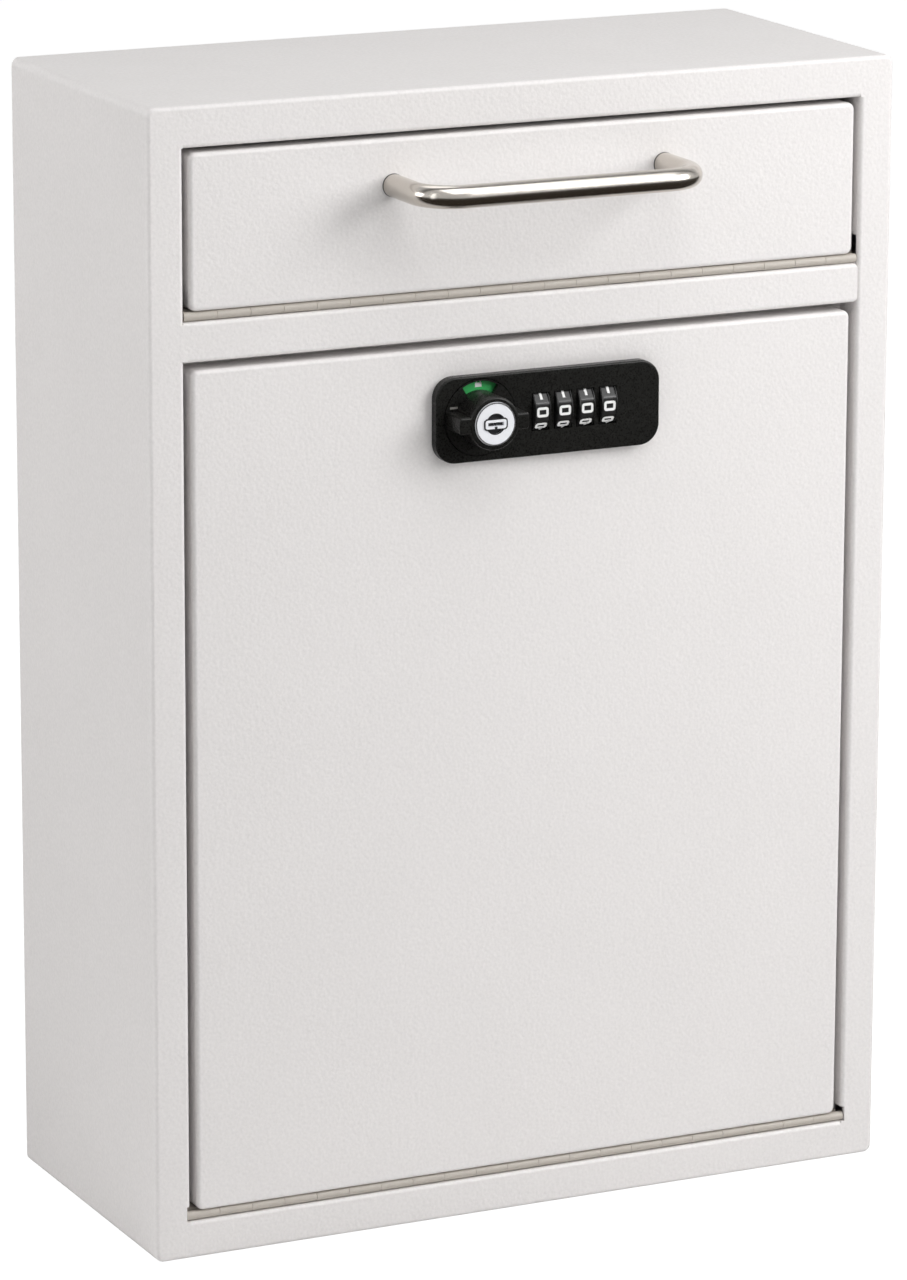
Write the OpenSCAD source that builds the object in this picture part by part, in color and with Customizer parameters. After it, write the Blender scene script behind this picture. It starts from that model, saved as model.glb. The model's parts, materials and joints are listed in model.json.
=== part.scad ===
// Key drop box: a wall-mounted sheet-steel cabinet with a tilting drop hopper above,
// a bottom-hinged collection door below and a four-dial combination cam lock with a key override.
// Millimetres. The front faces -Y and +Z is up.
// The origin is the middle of the base face: half of the width, half of the depth, on the base.
// All moving pieces are drawn closed, with the lock open and its dials at zero.

/* [Cabinet] */
// Width of the cabinet
body_w = 286; // [240:1:400]
// Depth of the cabinet from front face to back
body_d = 122; // [112:1:200]
// Height of the cabinet
body_h = 408; // [330:1:600]
// Thickness of the folded sheet
sheet_t = 1.5; // [1:0.1:1.8]
// Outside radius of every fold
fold_r = 1.5; // [0.8:0.1:1.8]
// Radius of the cabinet's corners seen from the front
corner_r = 3; // [2:0.5:6]
// Width of the front frame at the left and right
frame_side = 13; // [11:0.5:20]
// Width of the front frame at the top
frame_top = 14.4; // [12:0.2:22]
// Width of the front frame at the bottom
frame_bottom = 13.5; // [12:0.5:22]
// Depth of the frame's folded returns behind the front face
return_d = 12; // [11:0.5:13]
// Depth of the back panel's folded edges
back_fold_d = 12; // [8:1:20]

/* [Mid rail] */
// Height of the rail between the hopper and the door
rail_h = 14; // [11:0.5:22]
// Drop of the stop lip below the rail
stop_drop = 8; // [6:0.5:10]
// Corner radius at the rail's free end
rail_end_r = 2; // [0.5:0.5:3]

/* [Door] */
// Gap at each side of the door
door_side_gap = 2.8; // [1.5:0.1:4]
// Gap above the door
door_top_gap = 2.8; // [2:0.1:4]
// Clearance between the door's folded edge and the rail's stop lip
door_stop_gap = 0.5; // [0.3:0.1:1]
// Corner radius of the door and of the hopper panel
panel_r = 2.5; // [2:0.5:5]

/* [Hopper] */
// Clear height of the hopper's opening
hopper_open_h = 59.6; // [54:0.2:90]
// Gap at each side of the hopper panel
hopper_side_gap = 2.3; // [1.5:0.1:4]
// Gap above the hopper panel
hopper_top_gap = 1.8; // [1.6:0.1:3]
// Depth of the hopper panel's folded edges
hopper_d = 10; // [6:0.5:10]
// Angle to which the hopper tilts open
hopper_angle = 50; // [35:1:55]
// Thickness of the bin's sheet
bin_t = 1.2; // [0.8:0.1:1.5]
// Clearance between the cheeks' rim and the top of the opening
cheek_clear = 2.8; // [2:0.1:5]
// Length of the bin floor's level part behind the hinge
floor_run = 19; // [16:0.5:24]
// Slope of the bin floor while the hopper is closed
floor_slope = 45; // [35:1:50]
// Reach of the floor's tip from the hinge axis
floor_reach = 70; // [62:1:74]
// Gap between the floor's tip and the baffle while the hopper is open
baffle_gap = 3.5; // [2.5:0.5:8]
// Overlap of the baffle below the floor's tip while the hopper is open
baffle_overlap = 6; // [2:0.5:8]
// Width of the baffle's fold against the top of the cabinet
baffle_fold = 15; // [10:1:20]

/* [Handle] */
// Distance between the handle's legs
handle_cc = 104; // [80:1:150]
// Diameter of the handle's rod
handle_rod = 8; // [6:0.5:10]
// Distance from the panel to the rod's centre line
handle_reach = 30; // [24:0.5:45]
// Bend radius of the rod's centre line
handle_bend = 13; // [10:0.5:16]
// Distance from the panel's upper edge to the rod's centre line
handle_drop = 16.3; // [12:0.1:30]
// Diameter of the handle's screws
handle_screw_d = 4; // [3:0.5:4]

/* [Hinges] */
// Height of the gap that each hinge fills
hinge_gap = 3.6; // [3.4:0.1:4.5]
// Diameter of the hinge barrels
barrel_d = 3.2; // [2.8:0.1:3.2]
// Diameter of the hinge pins
pin_d = 1.7; // [1.4:0.1:1.8]
// Thickness of the hinge leaves
leaf_t = 0.9; // [0.7:0.1:1.1]
// Width of each hinge leaf behind its barrel
leaf_w = 7.6; // [5:0.2:7.6]
// Distance of the hinge axis behind the front face
hinge_inset = 2; // [1.8:0.1:2.2]
// Knuckles on each hinge, an odd number
knuckles = 21; // [11:2:31]
// Length of the door's hinge past the opening at each side
door_hinge_past = 1; // [0.5:0.1:1.2]

/* [Lock plate] */
// Width of the lock's faceplate
plate_w = 86.6; // [86.4:0.2:100]
// Height of the lock's faceplate
plate_h = 30.4; // [30.2:0.2:36]
// Distance of the faceplate's middle below the line of the dials and the knob
plate_drop = 0.5; // [0:0.1:0.5]
// Thickness of the lock's faceplate
plate_t = 3.8; // [3.6:0.1:5]
// Corner radius of the faceplate
plate_r = 7.5; // [3:0.5:10]
// Place of the faceplate's centre to the right of the door's centre line
lock_x = 6; // [-20:1:20]
// Distance of the lock's centre line below the rail
lock_below_rail = 27.5; // [24.5:0.1:40]
// Diameter of the two screws that hold the lock
lock_screw_d = 3; // [2.5:0.5:3]
// Distance of each of these screws from the faceplate's centre
lock_screw_x = 40.4; // [40.3:0.1:40.6]

/* [Lock dials] */
// Centre of the first dial from the faceplate's centre
first_dial_x = -3.2; // [-3.8:0.1:-3]
// Distance from one dial to the next
dial_pitch = 8.7; // [8.7:0.05:8.9]
// Diameter of the dials
dial_d = 19.4; // [18:0.2:19.4]
// Width of a dial
dial_w = 6.1; // [5.7:0.1:6.1]
// Height of the dials above the faceplate
dial_proud = 2.3; // [1.5:0.1:3]
// Diameter of the dial axle
axle_d = 4; // [3:0.5:5]
// Diameter of the code sleeves inside the dials
sleeve_d = 8; // [7:0.5:9]
// Diameter of the code sleeves' gated rims
gate_d = 10.4; // [9.6:0.2:10.4]

/* [Lock knob] */
// Place of the knob's axis from the faceplate's centre
knob_x = -26.6; // [-26.7:0.1:-26.4]
// Diameter of the knob's base disc
knob_d = 27; // [25:0.5:27]
// Diameter of the knob's collar
collar_d = 18.8; // [18:0.2:19.6]
// Height of the collar above the base disc
collar_h = 11.8; // [11.6:0.1:14]
// Height of the wings above the base disc
wing_h = 11.5; // [6:0.1:11.5]
// Width of the wings
wing_w = 5.8; // [4:0.2:8]
// Half of the angle that the sign's window covers
window_half_angle = 32; // [20:1:40]
// Diameter of the spindle inside the lock
spindle_d = 12; // [11.4:0.1:12]
// Wall of the spindle's eccentric ring at its thinnest
ring_wall = 0.65; // [0.4:0.05:0.65]
// Diameter of the spindle's tail that carries the cam
tail_d = 8; // [7:0.5:9]
// Distance across the tail's two flats
tail_flats = 6; // [5:0.5:6.5]
// Diameter of the key plug
plug_d = 10; // [9:0.1:10]
// Diameter of the key plug's face
face_d = 15.4; // [14:0.2:15.4]
// Height of the key plug's face above the collar
face_proud = 0.4; // [0.2:0.1:1.5]
// Travel of the locking bar in a quarter turn of the knob
bar_travel = 1.15; // [0.8:0.05:1.2]

/* [Lock cam] */
// Overlap of the cam behind the rail's stop lip when locked
cam_overlap = 5; // [4:0.5:7]
// Thickness of the cam
cam_t = 2; // [1.5:0.1:2.5]
// Width of the cam at its tip
cam_tip_w = 10; // [8:0.5:12]

/* [Wall fixing] */
// Diameter of the wall-fixing holes
wall_hole_d = 8.5; // [5:0.5:12]
// Distance between the wall-fixing holes, side to side
wall_cc_x = 203; // [150:1:203]
// Distance between the wall-fixing holes, up and down
wall_cc_z = 254; // [150:1:254]
// Height of the middle of the wall-fixing holes above the base
wall_mid_z = 170; // [150:1:180]

/* [Hidden] */
$fn = 64;

// Cut-through margin for holes and openings
cut = 1;
// Diametral clearance of a running fit
run_fit = 0.1;
// Diametral clearance of a screw in its thread or a shaft held fast
fast_fit = 0.02;
// Diametral clearance of a screw through a plate
screw_clear = 0.5;

// Cabinet planes
front_y = -body_d / 2;
back_y = body_d / 2;
open_x = body_w / 2 - frame_side;
open_top_z = body_h - frame_top;
rail_top_z = open_top_z - hopper_open_h;
rail_bottom_z = rail_top_z - rail_h;
inner_x = body_w / 2 - sheet_t;

// Hinge axes
hinge_y = front_y + hinge_inset;
door_axis_z = frame_bottom + hinge_gap / 2;
hopper_axis_z = rail_top_z + hinge_gap / 2;
barrel_r = barrel_d / 2;
pin_bore_d = pin_d + run_fit;
// Gap between neighbouring knuckles
knuckle_gap = 0.14;
// Gap between a leaf's edge and the other leaf's knuckles
leaf_clear = 0.2;
// Side clearance of the hopper's hinge and of both hinges' leaves in the opening
hinge_side_clear = 0.3;
door_hinge_len = 2 * (open_x + door_hinge_past);
hopper_hinge_len = 2 * (open_x - hinge_side_clear);
leaf_len = 2 * (open_x - hinge_side_clear);

// Door panel
door_w = 2 * (open_x - door_side_gap);
door_bottom_z = frame_bottom + hinge_gap;
door_top_z = rail_bottom_z - door_top_gap;
door_h = door_top_z - door_bottom_z;
door_d = return_d - door_stop_gap;
// Depth of the door's skin with the start of its folds, and half of the width between the side folds
skin_d = max(sheet_t, fold_r) + 0.5;
door_in_x = door_w / 2 - sheet_t;

// Notches in the frame's returns for the hinge ends
door_notch_h = hinge_gap + 2;
hopper_notch_h = 10;
notch_d = 6;
// Side clearance of the door's hinge in the frame's front sheet
notch_clear = 0.3;

// Hopper panel and bin
hopper_w = 2 * (open_x - hopper_side_gap);
hopper_bottom_z = rail_top_z + hinge_gap;
hopper_top_z = open_top_z - hopper_top_gap;
hopper_h = hopper_top_z - hopper_bottom_z;
bin_w = hopper_w - 2 * sheet_t;
cheek_r = open_top_z - hopper_axis_z - cheek_clear;
// Bin floor from the hinge axis: height of its top face and start of its slope
floor_top = hinge_gap / 2 + sheet_t + bin_t;
bin_front = sheet_t - hinge_inset;
slope_along = floor_run * cos(floor_slope) - floor_top * sin(floor_slope);
slope_len = -slope_along
  + sqrt(pow(slope_along, 2) - pow(floor_run, 2) - pow(floor_top, 2) + pow(floor_reach, 2));
tip_y = floor_run + slope_len * cos(floor_slope);
tip_z = floor_top - slope_len * sin(floor_slope);
tip_open_angle = atan2(tip_z, tip_y) + hopper_angle;
baffle_y = hinge_y + floor_reach * cos(tip_open_angle) + baffle_gap;
baffle_low_z = hopper_axis_z + floor_reach * sin(tip_open_angle) - baffle_overlap;
// Stop ears on the cheeks: they meet the rear edge of the opening's top return
ear_proud = 6;
ear_width_angle = 10;
ear_slack_angle = 0.5;
ear_angle = atan2(open_top_z - hopper_axis_z, return_d - hinge_inset) - hopper_angle
  - ear_slack_angle;

// Handle
handle_z = hopper_top_z - handle_drop;
handle_screw_grip = 12;
washer_t = 0.8;
handle_washer_d = handle_screw_d * 2.25;
handle_head_d = handle_screw_d * 1.9;
handle_head_h = handle_screw_d * 0.6;

// Lock planes, measured from the door's front face with +Y to the back
lock_z = rail_bottom_z - lock_below_rail;
// Depth of the knob's recess in the faceplate and thickness of the sign in it
recess_d = 2;
sign_t = 0.4;
knob_gap = 0.15;
disc_proud = 0.2;
disc_back = -plate_t + recess_d - sign_t - knob_gap;
disc_front = -plate_t - disc_proud;
collar_front = disc_front - collar_h;
recess_wall = 0.3;
last_dial_x = first_dial_x + 3 * dial_pitch;
dial_y = -plate_t - dial_proud + dial_d / 2;
// Clearance round a dial in its window
window_side = 0.45;
window_round = 0.3;

// Lock housing
wall = 1.5;
housing_margin = 3.3;
housing_h = dial_d + 2 * housing_margin;
housing_back = dial_y + dial_d / 2 + 1.1;
cover_t = 1.5;
cover_back = housing_back + cover_t;
ring_r = spindle_d / 2 + bar_travel + ring_wall;
housing_in_left = knob_x - ring_r - 0.4;
housing_left = housing_in_left - wall;
// Rims and lanes beside each dial
rim_gap = 0.2;
rim_t = 1.2;
tooth_t = 0.9;
lane_end = dial_pitch - dial_w / 2;
housing_in_right = last_dial_x + lane_end + rim_gap + 0.1;
housing_right = housing_in_right + wall;
partition_x = first_dial_x - dial_w / 2 - 0.4 - wall;
rim_x = dial_w / 2 + rim_gap;
housing_in_half = housing_h / 2 - wall;

// Locking bar
bar_t = 1.4;
bar_low = -housing_in_half + 0.2;
bar_depth = 7;
bar_y = 0.5;
gate_w = 2.8;
gate_depth = (gate_d - sleeve_d) / 2 - 0.1;
tooth_w = gate_w - 0.4;
tooth_top = -gate_d / 2 + gate_depth - 0.3;
ring_t = 3;
ring_y = 4;
follower_gap = 0.3;
follower_t = 1.5;
follower_x = knob_x + ring_r + follower_gap;
bar_end_x = last_dial_x + rim_x + (rim_t + tooth_t) / 2;

// Spring and cover screws
spring_t = 0.3;
spring_gap = 0.15;
cover_screw_d = 2;
cover_screw_len = 6;
post_d = 3.5;
post_z = housing_h / 2 - wall - 1.7;
post_in = 1;
post_places = [[housing_in_left + post_in, post_z], [housing_in_left + post_in, -post_z],
  [housing_in_right - post_in, post_z]];

// Lock fixing screws
boss_d = lock_screw_d + 2;
boss_len = 0.8 * sheet_t;
lock_hole_clear = 0.2;
lock_washer_t = 0.5;
lock_washer_d = 2.2 * lock_screw_d;
lock_thread_in = plate_t - recess_d - 0.5;

// Spindle, plug and cam
spindle_back = housing_back - 0.2;
cam_washer_t = 1;
washer_gap = 0.1;
cam_front = cover_back + washer_gap + cam_washer_t;
cam_back = cam_front + cam_t;
tail_back = cam_back - 0.2;
flat_from = cover_back + washer_gap;
plug_back = 8;
plug_end_gap = 0.3;
face_t = 2.5;
face_back = collar_front - face_proud + face_t;
face_front = collar_front - face_proud;
cam_reach = lock_below_rail + cam_overlap;
cam_hub_d = spindle_d;
cam_screw_d = tail_d / 2;
cam_screw_in = 8;
keyway_w = 6;
keyway_h = 1.3;
wafer_t = 0.8;
wafer_clear = 0.1;
wafer_w = 0.86 * plug_d;
wafer_h = 3.6;
wafer_count = 5;
wafer_pitch = 3;
first_wafer_y = -6;

white_coat = [0.90, 0.89, 0.88];
brushed = [0.72, 0.70, 0.66];
bright = [0.80, 0.80, 0.80];
black_coat = [0.14, 0.14, 0.13];
key_white = [0.90, 0.90, 0.92];
brass = [0.78, 0.64, 0.34];

// Half of a disc's outline with its front edge rounded, for turning round the Y axis of the sketch
module disc_half(r, depth, e) {
  translate([0, -depth])
    square([r, depth - e]);
  translate([0, -e])
    square([r - e, e]);
  intersection() {
    translate([r - e, -e])
      circle(e);
    translate([0, -depth])
      square([r, depth]);
  }
}

// Section of a slab of half width h with both front edges rounded
module slab_section(h, depth, e) {
  translate([-h, -depth])
    square([2 * h, depth - e]);
  translate([e - h, -e])
    square([2 * (h - e), e]);
  for (s = [-1, 1])
    translate([s * (h - e), -e])
      circle(e);
}

// Slab w by h whose face is at y = 0 and looks to -Y, with corner radius r and edge radius e
module faced_slab(w, h, depth, r, e) {
  rotate([90, 0, 0]) {
    rotate([90, 0, 90])
      linear_extrude(w - 2 * r, center = true)
        slab_section(h / 2, depth, e);
    rotate([90, 0, 0])
      linear_extrude(h - 2 * r, center = true)
        slab_section(w / 2, depth, e);
    for (sx = [-1, 1], sy = [-1, 1])
      translate([sx * (w / 2 - r), sy * (h / 2 - r), 0])
        rotate_extrude()
          disc_half(r, depth, e);
  }
}

// Folded tray, open to the back
module folded_tray(w, h, depth, t, r, e) {
  difference() {
    faced_slab(w, h, depth, r, e);
    translate([t - w / 2, t, t - h / 2])
      cube([w - 2 * t, depth, h - 2 * t]);
  }
}

// Box given by its lowest and highest corners
module corner_box(low, high) {
  translate(low)
    cube(high - low);
}

// Cylinder along +Y from y0 to y1
module rod_y(d, y0, y1) {
  translate([0, y0, 0])
    rotate([-90, 0, 0])
      cylinder(d = d, h = y1 - y0);
}

// Cylinder along +X from x0 to x1
module rod_x(d, x0, x1) {
  translate([x0, 0, 0])
    rotate([0, 90, 0])
      cylinder(d = d, h = x1 - x0);
}

// Tool that rounds the front edge above an opening: it runs along X and lies above z = 0
module edge_tool(len) {
  difference() {
    translate([-len / 2, -cut, -cut])
      cube([len, fold_r + cut, fold_r + cut]);
    translate([0, fold_r, fold_r])
      rotate([0, 90, 0])
        cylinder(r = fold_r, h = len + cut, center = true);
  }
}

// Rounding of all four front edges of an opening w by h centred on the origin
module opening_edges(w, h) {
  for (s = [0, 1])
    mirror([0, 0, s])
      translate([0, 0, h / 2])
        edge_tool(w);
  for (s = [0, 1])
    mirror([s, 0, 0])
      translate([w / 2, 0, 0])
        rotate([0, 90, 0])
          edge_tool(h);
}

// Hinge end notches in both side returns: through the front sheet only if front_cut is above 0
module return_notches(low_z, high_z, front_cut) {
  for (s = [-1, 1]) {
    translate([s * (open_x + sheet_t / 2), front_y + fold_r + notch_d / 2, (low_z + high_z) / 2])
      cube([sheet_t + cut, notch_d, high_z - low_z], center = true);
    if (front_cut > 0)
      translate([s * (open_x - cut / 2 + front_cut / 2), front_y, (low_z + high_z) / 2])
        cube([front_cut + cut, 2 * notch_d, high_z - low_z], center = true);
  }
}

module cabinet_shell() {
  open_w = 2 * open_x;
  open_h = open_top_z - frame_bottom;
  open_mid_z = (open_top_z + frame_bottom) / 2;
  color(white_coat)
    difference() {
      union() {
        difference() {
          translate([0, front_y, body_h / 2])
            faced_slab(body_w, body_h, body_d, corner_r, fold_r);
          corner_box([-inner_x, front_y + sheet_t, sheet_t],
            [inner_x, back_y + cut, body_h - sheet_t]);
        }
        translate([0, front_y + return_d / 2 + fold_r / 2, open_mid_z])
          cube([open_w + 2 * sheet_t, return_d - fold_r, open_h + 2 * sheet_t], center = true);
      }
      translate([0, front_y, open_mid_z])
        cube([open_w, 3 * return_d, open_h], center = true);
      translate([0, front_y, open_mid_z])
        opening_edges(open_w, open_h);
      return_notches(frame_bottom, frame_bottom + door_notch_h, door_hinge_past + notch_clear);
      return_notches(rail_top_z, rail_top_z + hopper_notch_h, 0);
    }
}

module back_panel() {
  plate_x = inner_x;
  color(white_coat)
    difference() {
      corner_box([-plate_x, back_y - back_fold_d, sheet_t], [plate_x, back_y, body_h - sheet_t]);
      corner_box([sheet_t - plate_x, back_y - back_fold_d - cut, 2 * sheet_t],
        [plate_x - sheet_t, back_y - sheet_t, body_h - 2 * sheet_t]);
      for (sx = [-1, 1], sz = [-1, 1])
        translate([sx * wall_cc_x / 2, 0, wall_mid_z + sz * wall_cc_z / 2])
          rod_y(wall_hole_d, back_y - sheet_t - cut, back_y + cut);
    }
}

// Section of the rail in the Y-Z plane, drawn with its front lower corner at the origin
module rail_section() {
  difference() {
    union() {
      square([return_d, rail_h]);
      translate([return_d, -stop_drop])
        square([sheet_t, stop_drop + sheet_t]);
    }
    translate([sheet_t, sheet_t])
      square([return_d + sheet_t, rail_h - 2 * sheet_t]);
    difference() {
      square([2 * fold_r, 2 * fold_r], center = true);
      translate([fold_r, fold_r])
        circle(fold_r);
    }
    translate([0, rail_h])
      difference() {
        square([2 * fold_r, 2 * fold_r], center = true);
        translate([fold_r, -fold_r])
          circle(fold_r);
      }
  }
}

module mid_rail() {
  front_h = rail_h - 2 * rail_end_r;
  color(white_coat)
    translate([0, front_y, rail_bottom_z])
      intersection() {
        rotate([90, 0, 90])
          linear_extrude(2 * open_x, center = true)
            rail_section();
        union() {
          corner_box([-open_x, -cut, -2 * stop_drop],
            [open_x - rail_end_r, return_d + 2 * sheet_t, rail_h + cut]);
          corner_box([0, -cut, rail_end_r], [open_x, return_d + 2 * sheet_t, rail_h - rail_end_r]);
          corner_box([0, sheet_t, -2 * stop_drop], [open_x, return_d + 2 * sheet_t, rail_h + cut]);
          for (z = [rail_end_r, rail_end_r + front_h])
            translate([open_x - rail_end_r, 0, z])
              rod_y(2 * rail_end_r, -cut, sheet_t);
        }
      }
}

module anti_fishing_baffle() {
  half = inner_x - back_fold_d / 4;
  high = body_h - sheet_t;
  lip = 6;
  color(white_coat) {
    corner_box([-half, baffle_y, baffle_low_z], [half, baffle_y + sheet_t, high]);
    corner_box([-half, baffle_y, high - sheet_t], [half, baffle_y + baffle_fold, high]);
    corner_box([-half, baffle_y, baffle_low_z], [half, baffle_y + lip, baffle_low_z + sheet_t]);
  }
}

// Hinge leaf on its axis. up is 1 for the leaf above the axis and -1 for the one below it.
module hinge_leaf(len, up) {
  pitch = len / knuckles;
  first = up > 0 ? 1 : 0;
  leaf_from = barrel_r + leaf_clear;
  low = up > 0 ? hinge_gap / 2 - leaf_t : -hinge_gap / 2;
  color(bright)
    difference() {
      union() {
        translate([-leaf_len / 2, leaf_from, low])
          cube([leaf_len, leaf_w, leaf_t]);
        for (i = [first:2:knuckles - 1]) {
          x0 = -len / 2 + i * pitch + knuckle_gap / 2;
          x1 = x0 + pitch - knuckle_gap;
          rod_x(barrel_d, x0, x1);
          corner_box([max(x0, -leaf_len / 2), 0, low],
            [min(x1, leaf_len / 2), leaf_from + leaf_t, low + leaf_t]);
        }
      }
      rod_x(pin_bore_d, -len, len);
    }
}

module hinge_pin(len) {
  color(bright)
    rod_x(pin_d, -len / 2, len / 2);
}

module at_door_hinge() {
  translate([0, hinge_y, door_axis_z])
    children();
}

module at_hopper_hinge() {
  translate([0, hinge_y, hopper_axis_z])
    children();
}

module door_hinge_fixed_leaf() {
  at_door_hinge()
    hinge_leaf(door_hinge_len, -1);
}

module door_hinge_moving_leaf() {
  at_door_hinge()
    hinge_leaf(door_hinge_len, 1);
}

module door_hinge_pin() {
  at_door_hinge()
    hinge_pin(door_hinge_len);
}

module hopper_hinge_fixed_leaf() {
  at_hopper_hinge()
    hinge_leaf(hopper_hinge_len, -1);
}

module hopper_hinge_moving_leaf() {
  at_hopper_hinge()
    hinge_leaf(hopper_hinge_len, 1);
}

module hopper_hinge_pin() {
  at_hopper_hinge()
    hinge_pin(hopper_hinge_len);
}

module at_lock() {
  translate([lock_x, front_y, lock_z])
    children();
}

// Door tray: its skin, side folds and end folds are one sheet
module door_tray() {
  translate([0, front_y, (door_bottom_z + door_top_z) / 2])
    folded_tray(door_w, door_h, door_d, sheet_t, panel_r, fold_r);
}

module door_panel() {
  // Clearance of the lock's housing in the door
  housing_clear = 0.3;
  color(white_coat)
    difference() {
      intersection() {
        door_tray();
        corner_box([-door_w, front_y - cut, 0], [door_w, front_y + skin_d, body_h]);
      }
      at_lock() {
        corner_box([housing_left - housing_clear, -cut, -housing_h / 2 - housing_clear],
          [housing_right + housing_clear, sheet_t + cut, housing_h / 2 + housing_clear]);
        for (s = [-1, 1])
          translate([s * lock_screw_x, 0, 0])
            rod_y(boss_d + lock_hole_clear, -cut, sheet_t + cut);
      }
    }
}

module door_side_folds() {
  color(white_coat)
    difference() {
      door_tray();
      corner_box([-door_w, front_y - cut, 0], [door_w, front_y + skin_d, body_h]);
      corner_box([-door_in_x, front_y, 0], [door_in_x, front_y + 2 * door_d, body_h]);
    }
}

module door_end_folds() {
  color(white_coat)
    intersection() {
      door_tray();
      corner_box([-door_in_x, front_y + skin_d, 0], [door_in_x, front_y + 2 * door_d, body_h]);
    }
}

module hopper_panel() {
  color(white_coat)
    difference() {
      translate([0, front_y, (hopper_bottom_z + hopper_top_z) / 2])
        folded_tray(hopper_w, hopper_h, hopper_d, sheet_t, panel_r, fold_r);
      for (s = [-1, 1])
        translate([s * handle_cc / 2, front_y, handle_z])
          rod_y(handle_screw_d + screw_clear, -cut, sheet_t + cut);
    }
}

// Outline of a bin cheek in the Y-Z plane, measured from the hinge axis
module cheek_outline() {
  far = 2 * cheek_r;
  top = hopper_top_z - sheet_t - hopper_axis_z;
  intersection() {
    union() {
      circle(cheek_r);
      intersection() {
        circle(cheek_r + ear_proud);
        polygon([[0, 0], [far * cos(ear_angle), far * sin(ear_angle)],
          [far * cos(ear_angle - ear_width_angle), far * sin(ear_angle - ear_width_angle)]]);
      }
    }
    polygon([[bin_front, floor_top - bin_t], [floor_run, floor_top - bin_t],
      [floor_run + far * cos(floor_slope), floor_top - bin_t - far * sin(floor_slope)],
      [far, top], [bin_front, top]]);
  }
}

// Outline of the bin floor: a level run, then a slope to the tip
module floor_outline() {
  drop = [bin_t * sin(floor_slope), bin_t * cos(floor_slope)];
  bend = bin_t * tan(floor_slope / 2);
  polygon([[bin_front, floor_top - bin_t], [floor_run - bend, floor_top - bin_t],
    [tip_y - drop[0], tip_z - drop[1]], [tip_y, tip_z],
    [floor_run, floor_top], [bin_front, floor_top]]);
}

module hopper_bin() {
  color(white_coat)
    at_hopper_hinge() {
      for (s = [-1, 1])
        translate([s * (bin_w - bin_t) / 2, 0, 0])
          rotate([90, 0, 90])
            linear_extrude(bin_t, center = true)
              cheek_outline();
      rotate([90, 0, 90])
        linear_extrude(bin_w, center = true)
          floor_outline();
    }
}

module at_handle() {
  translate([0, front_y, handle_z])
    children();
}

module hopper_handle() {
  half = handle_cc / 2;
  color(brushed)
    at_handle()
      difference() {
        union() {
          for (s = [0, 1])
            mirror([s, 0, 0]) {
              translate([half, 0, 0])
                rod_y(handle_rod, handle_bend - handle_reach, 0);
              translate([half - handle_bend, handle_bend - handle_reach, 0])
                rotate([0, 0, -90])
                  rotate_extrude(angle = 90)
                    translate([handle_bend, 0])
                      circle(d = handle_rod);
            }
          translate([0, -handle_reach, 0])
            rod_x(handle_rod, handle_bend - half, half - handle_bend);
        }
        for (s = [-1, 1])
          translate([s * half, 0, 0])
            rod_y(handle_screw_d + fast_fit, -handle_screw_grip, cut);
      }
}

module handle_screws() {
  head_y = sheet_t + washer_t;
  color(bright)
    at_handle()
      for (s = [-1, 1])
        translate([s * handle_cc / 2, 0, 0]) {
          rod_y(handle_screw_d, 1 - handle_screw_grip, head_y + handle_head_h / 2);
          rod_y(handle_head_d, head_y, head_y + handle_head_h);
        }
}

module handle_washers() {
  color(bright)
    at_handle()
      for (s = [-1, 1])
        translate([s * handle_cc / 2, 0, 0])
          difference() {
            rod_y(handle_washer_d, sheet_t, sheet_t + washer_t);
            rod_y(handle_screw_d + screw_clear, 0, sheet_t + washer_t + cut);
          }
}

// Children at each dial's centre, on the dials' axis
module at_dials() {
  for (i = [0:3])
    translate([first_dial_x + i * dial_pitch, dial_y, 0])
      children();
}

module lock_faceplate() {
  edge = 0.7;
  color(black_coat)
    at_lock()
      difference() {
        union() {
          translate([0, -plate_t, -plate_drop])
            faced_slab(plate_w, plate_h, plate_t, plate_r, edge);
          for (s = [-1, 1])
            translate([s * lock_screw_x, 0, 0])
              rod_y(boss_d, -plate_t / 2, boss_len);
        }
        at_dials() {
          rod_x(dial_d + 2 * window_round, -dial_w / 2 - window_side, dial_w / 2 + window_side);
          rod_x(gate_d + 2 * window_round, rim_x - run_fit, rim_x + rim_t + run_fit);
        }
        translate([knob_x, 0, 0]) {
          rod_y(knob_d + 2 * recess_wall, -plate_t - cut, -plate_t + recess_d);
          rod_y(spindle_d + run_fit, -plate_t, cut);
        }
        for (s = [-1, 1])
          translate([s * lock_screw_x, 0, 0])
            rod_y(lock_screw_d + fast_fit, -lock_thread_in, boss_len + cut);
      }
}

module lock_sign() {
  color("green")
    at_lock()
      translate([knob_x, 0, 0])
        difference() {
          rod_y(knob_d, recess_d - plate_t - sign_t, recess_d - plate_t);
          rod_y(spindle_d + 4 * run_fit, -plate_t, cut);
        }
}

module lock_housing() {
  color(black_coat)
    at_lock()
      difference() {
        union() {
          difference() {
            corner_box([housing_left, 0, -housing_h / 2], [housing_right, housing_back, housing_h / 2]);
            corner_box([housing_in_left, -cut, -housing_in_half],
              [housing_in_right, housing_back + cut, housing_in_half]);
          }
          corner_box([partition_x, 0, -housing_in_half - wall / 2],
            [partition_x + wall, housing_back, housing_in_half + wall / 2]);
          for (p = post_places)
            translate([p[0], 0, p[1]])
              rod_y(post_d, 0, housing_back);
        }
        translate([0, dial_y, 0])
          rod_x(axle_d + fast_fit, partition_x - cut, housing_right + cut);
        corner_box([partition_x - cut, -cut, -housing_in_half - run_fit],
          [partition_x + wall + cut, bar_y + bar_depth + 0.3, bar_low + bar_t + 0.3]);
        for (p = post_places)
          translate([p[0], 0, p[1]])
            rod_y(cover_screw_d + fast_fit, housing_back - cover_screw_len + cover_t / 2,
              housing_back + cut);
      }
}

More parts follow.
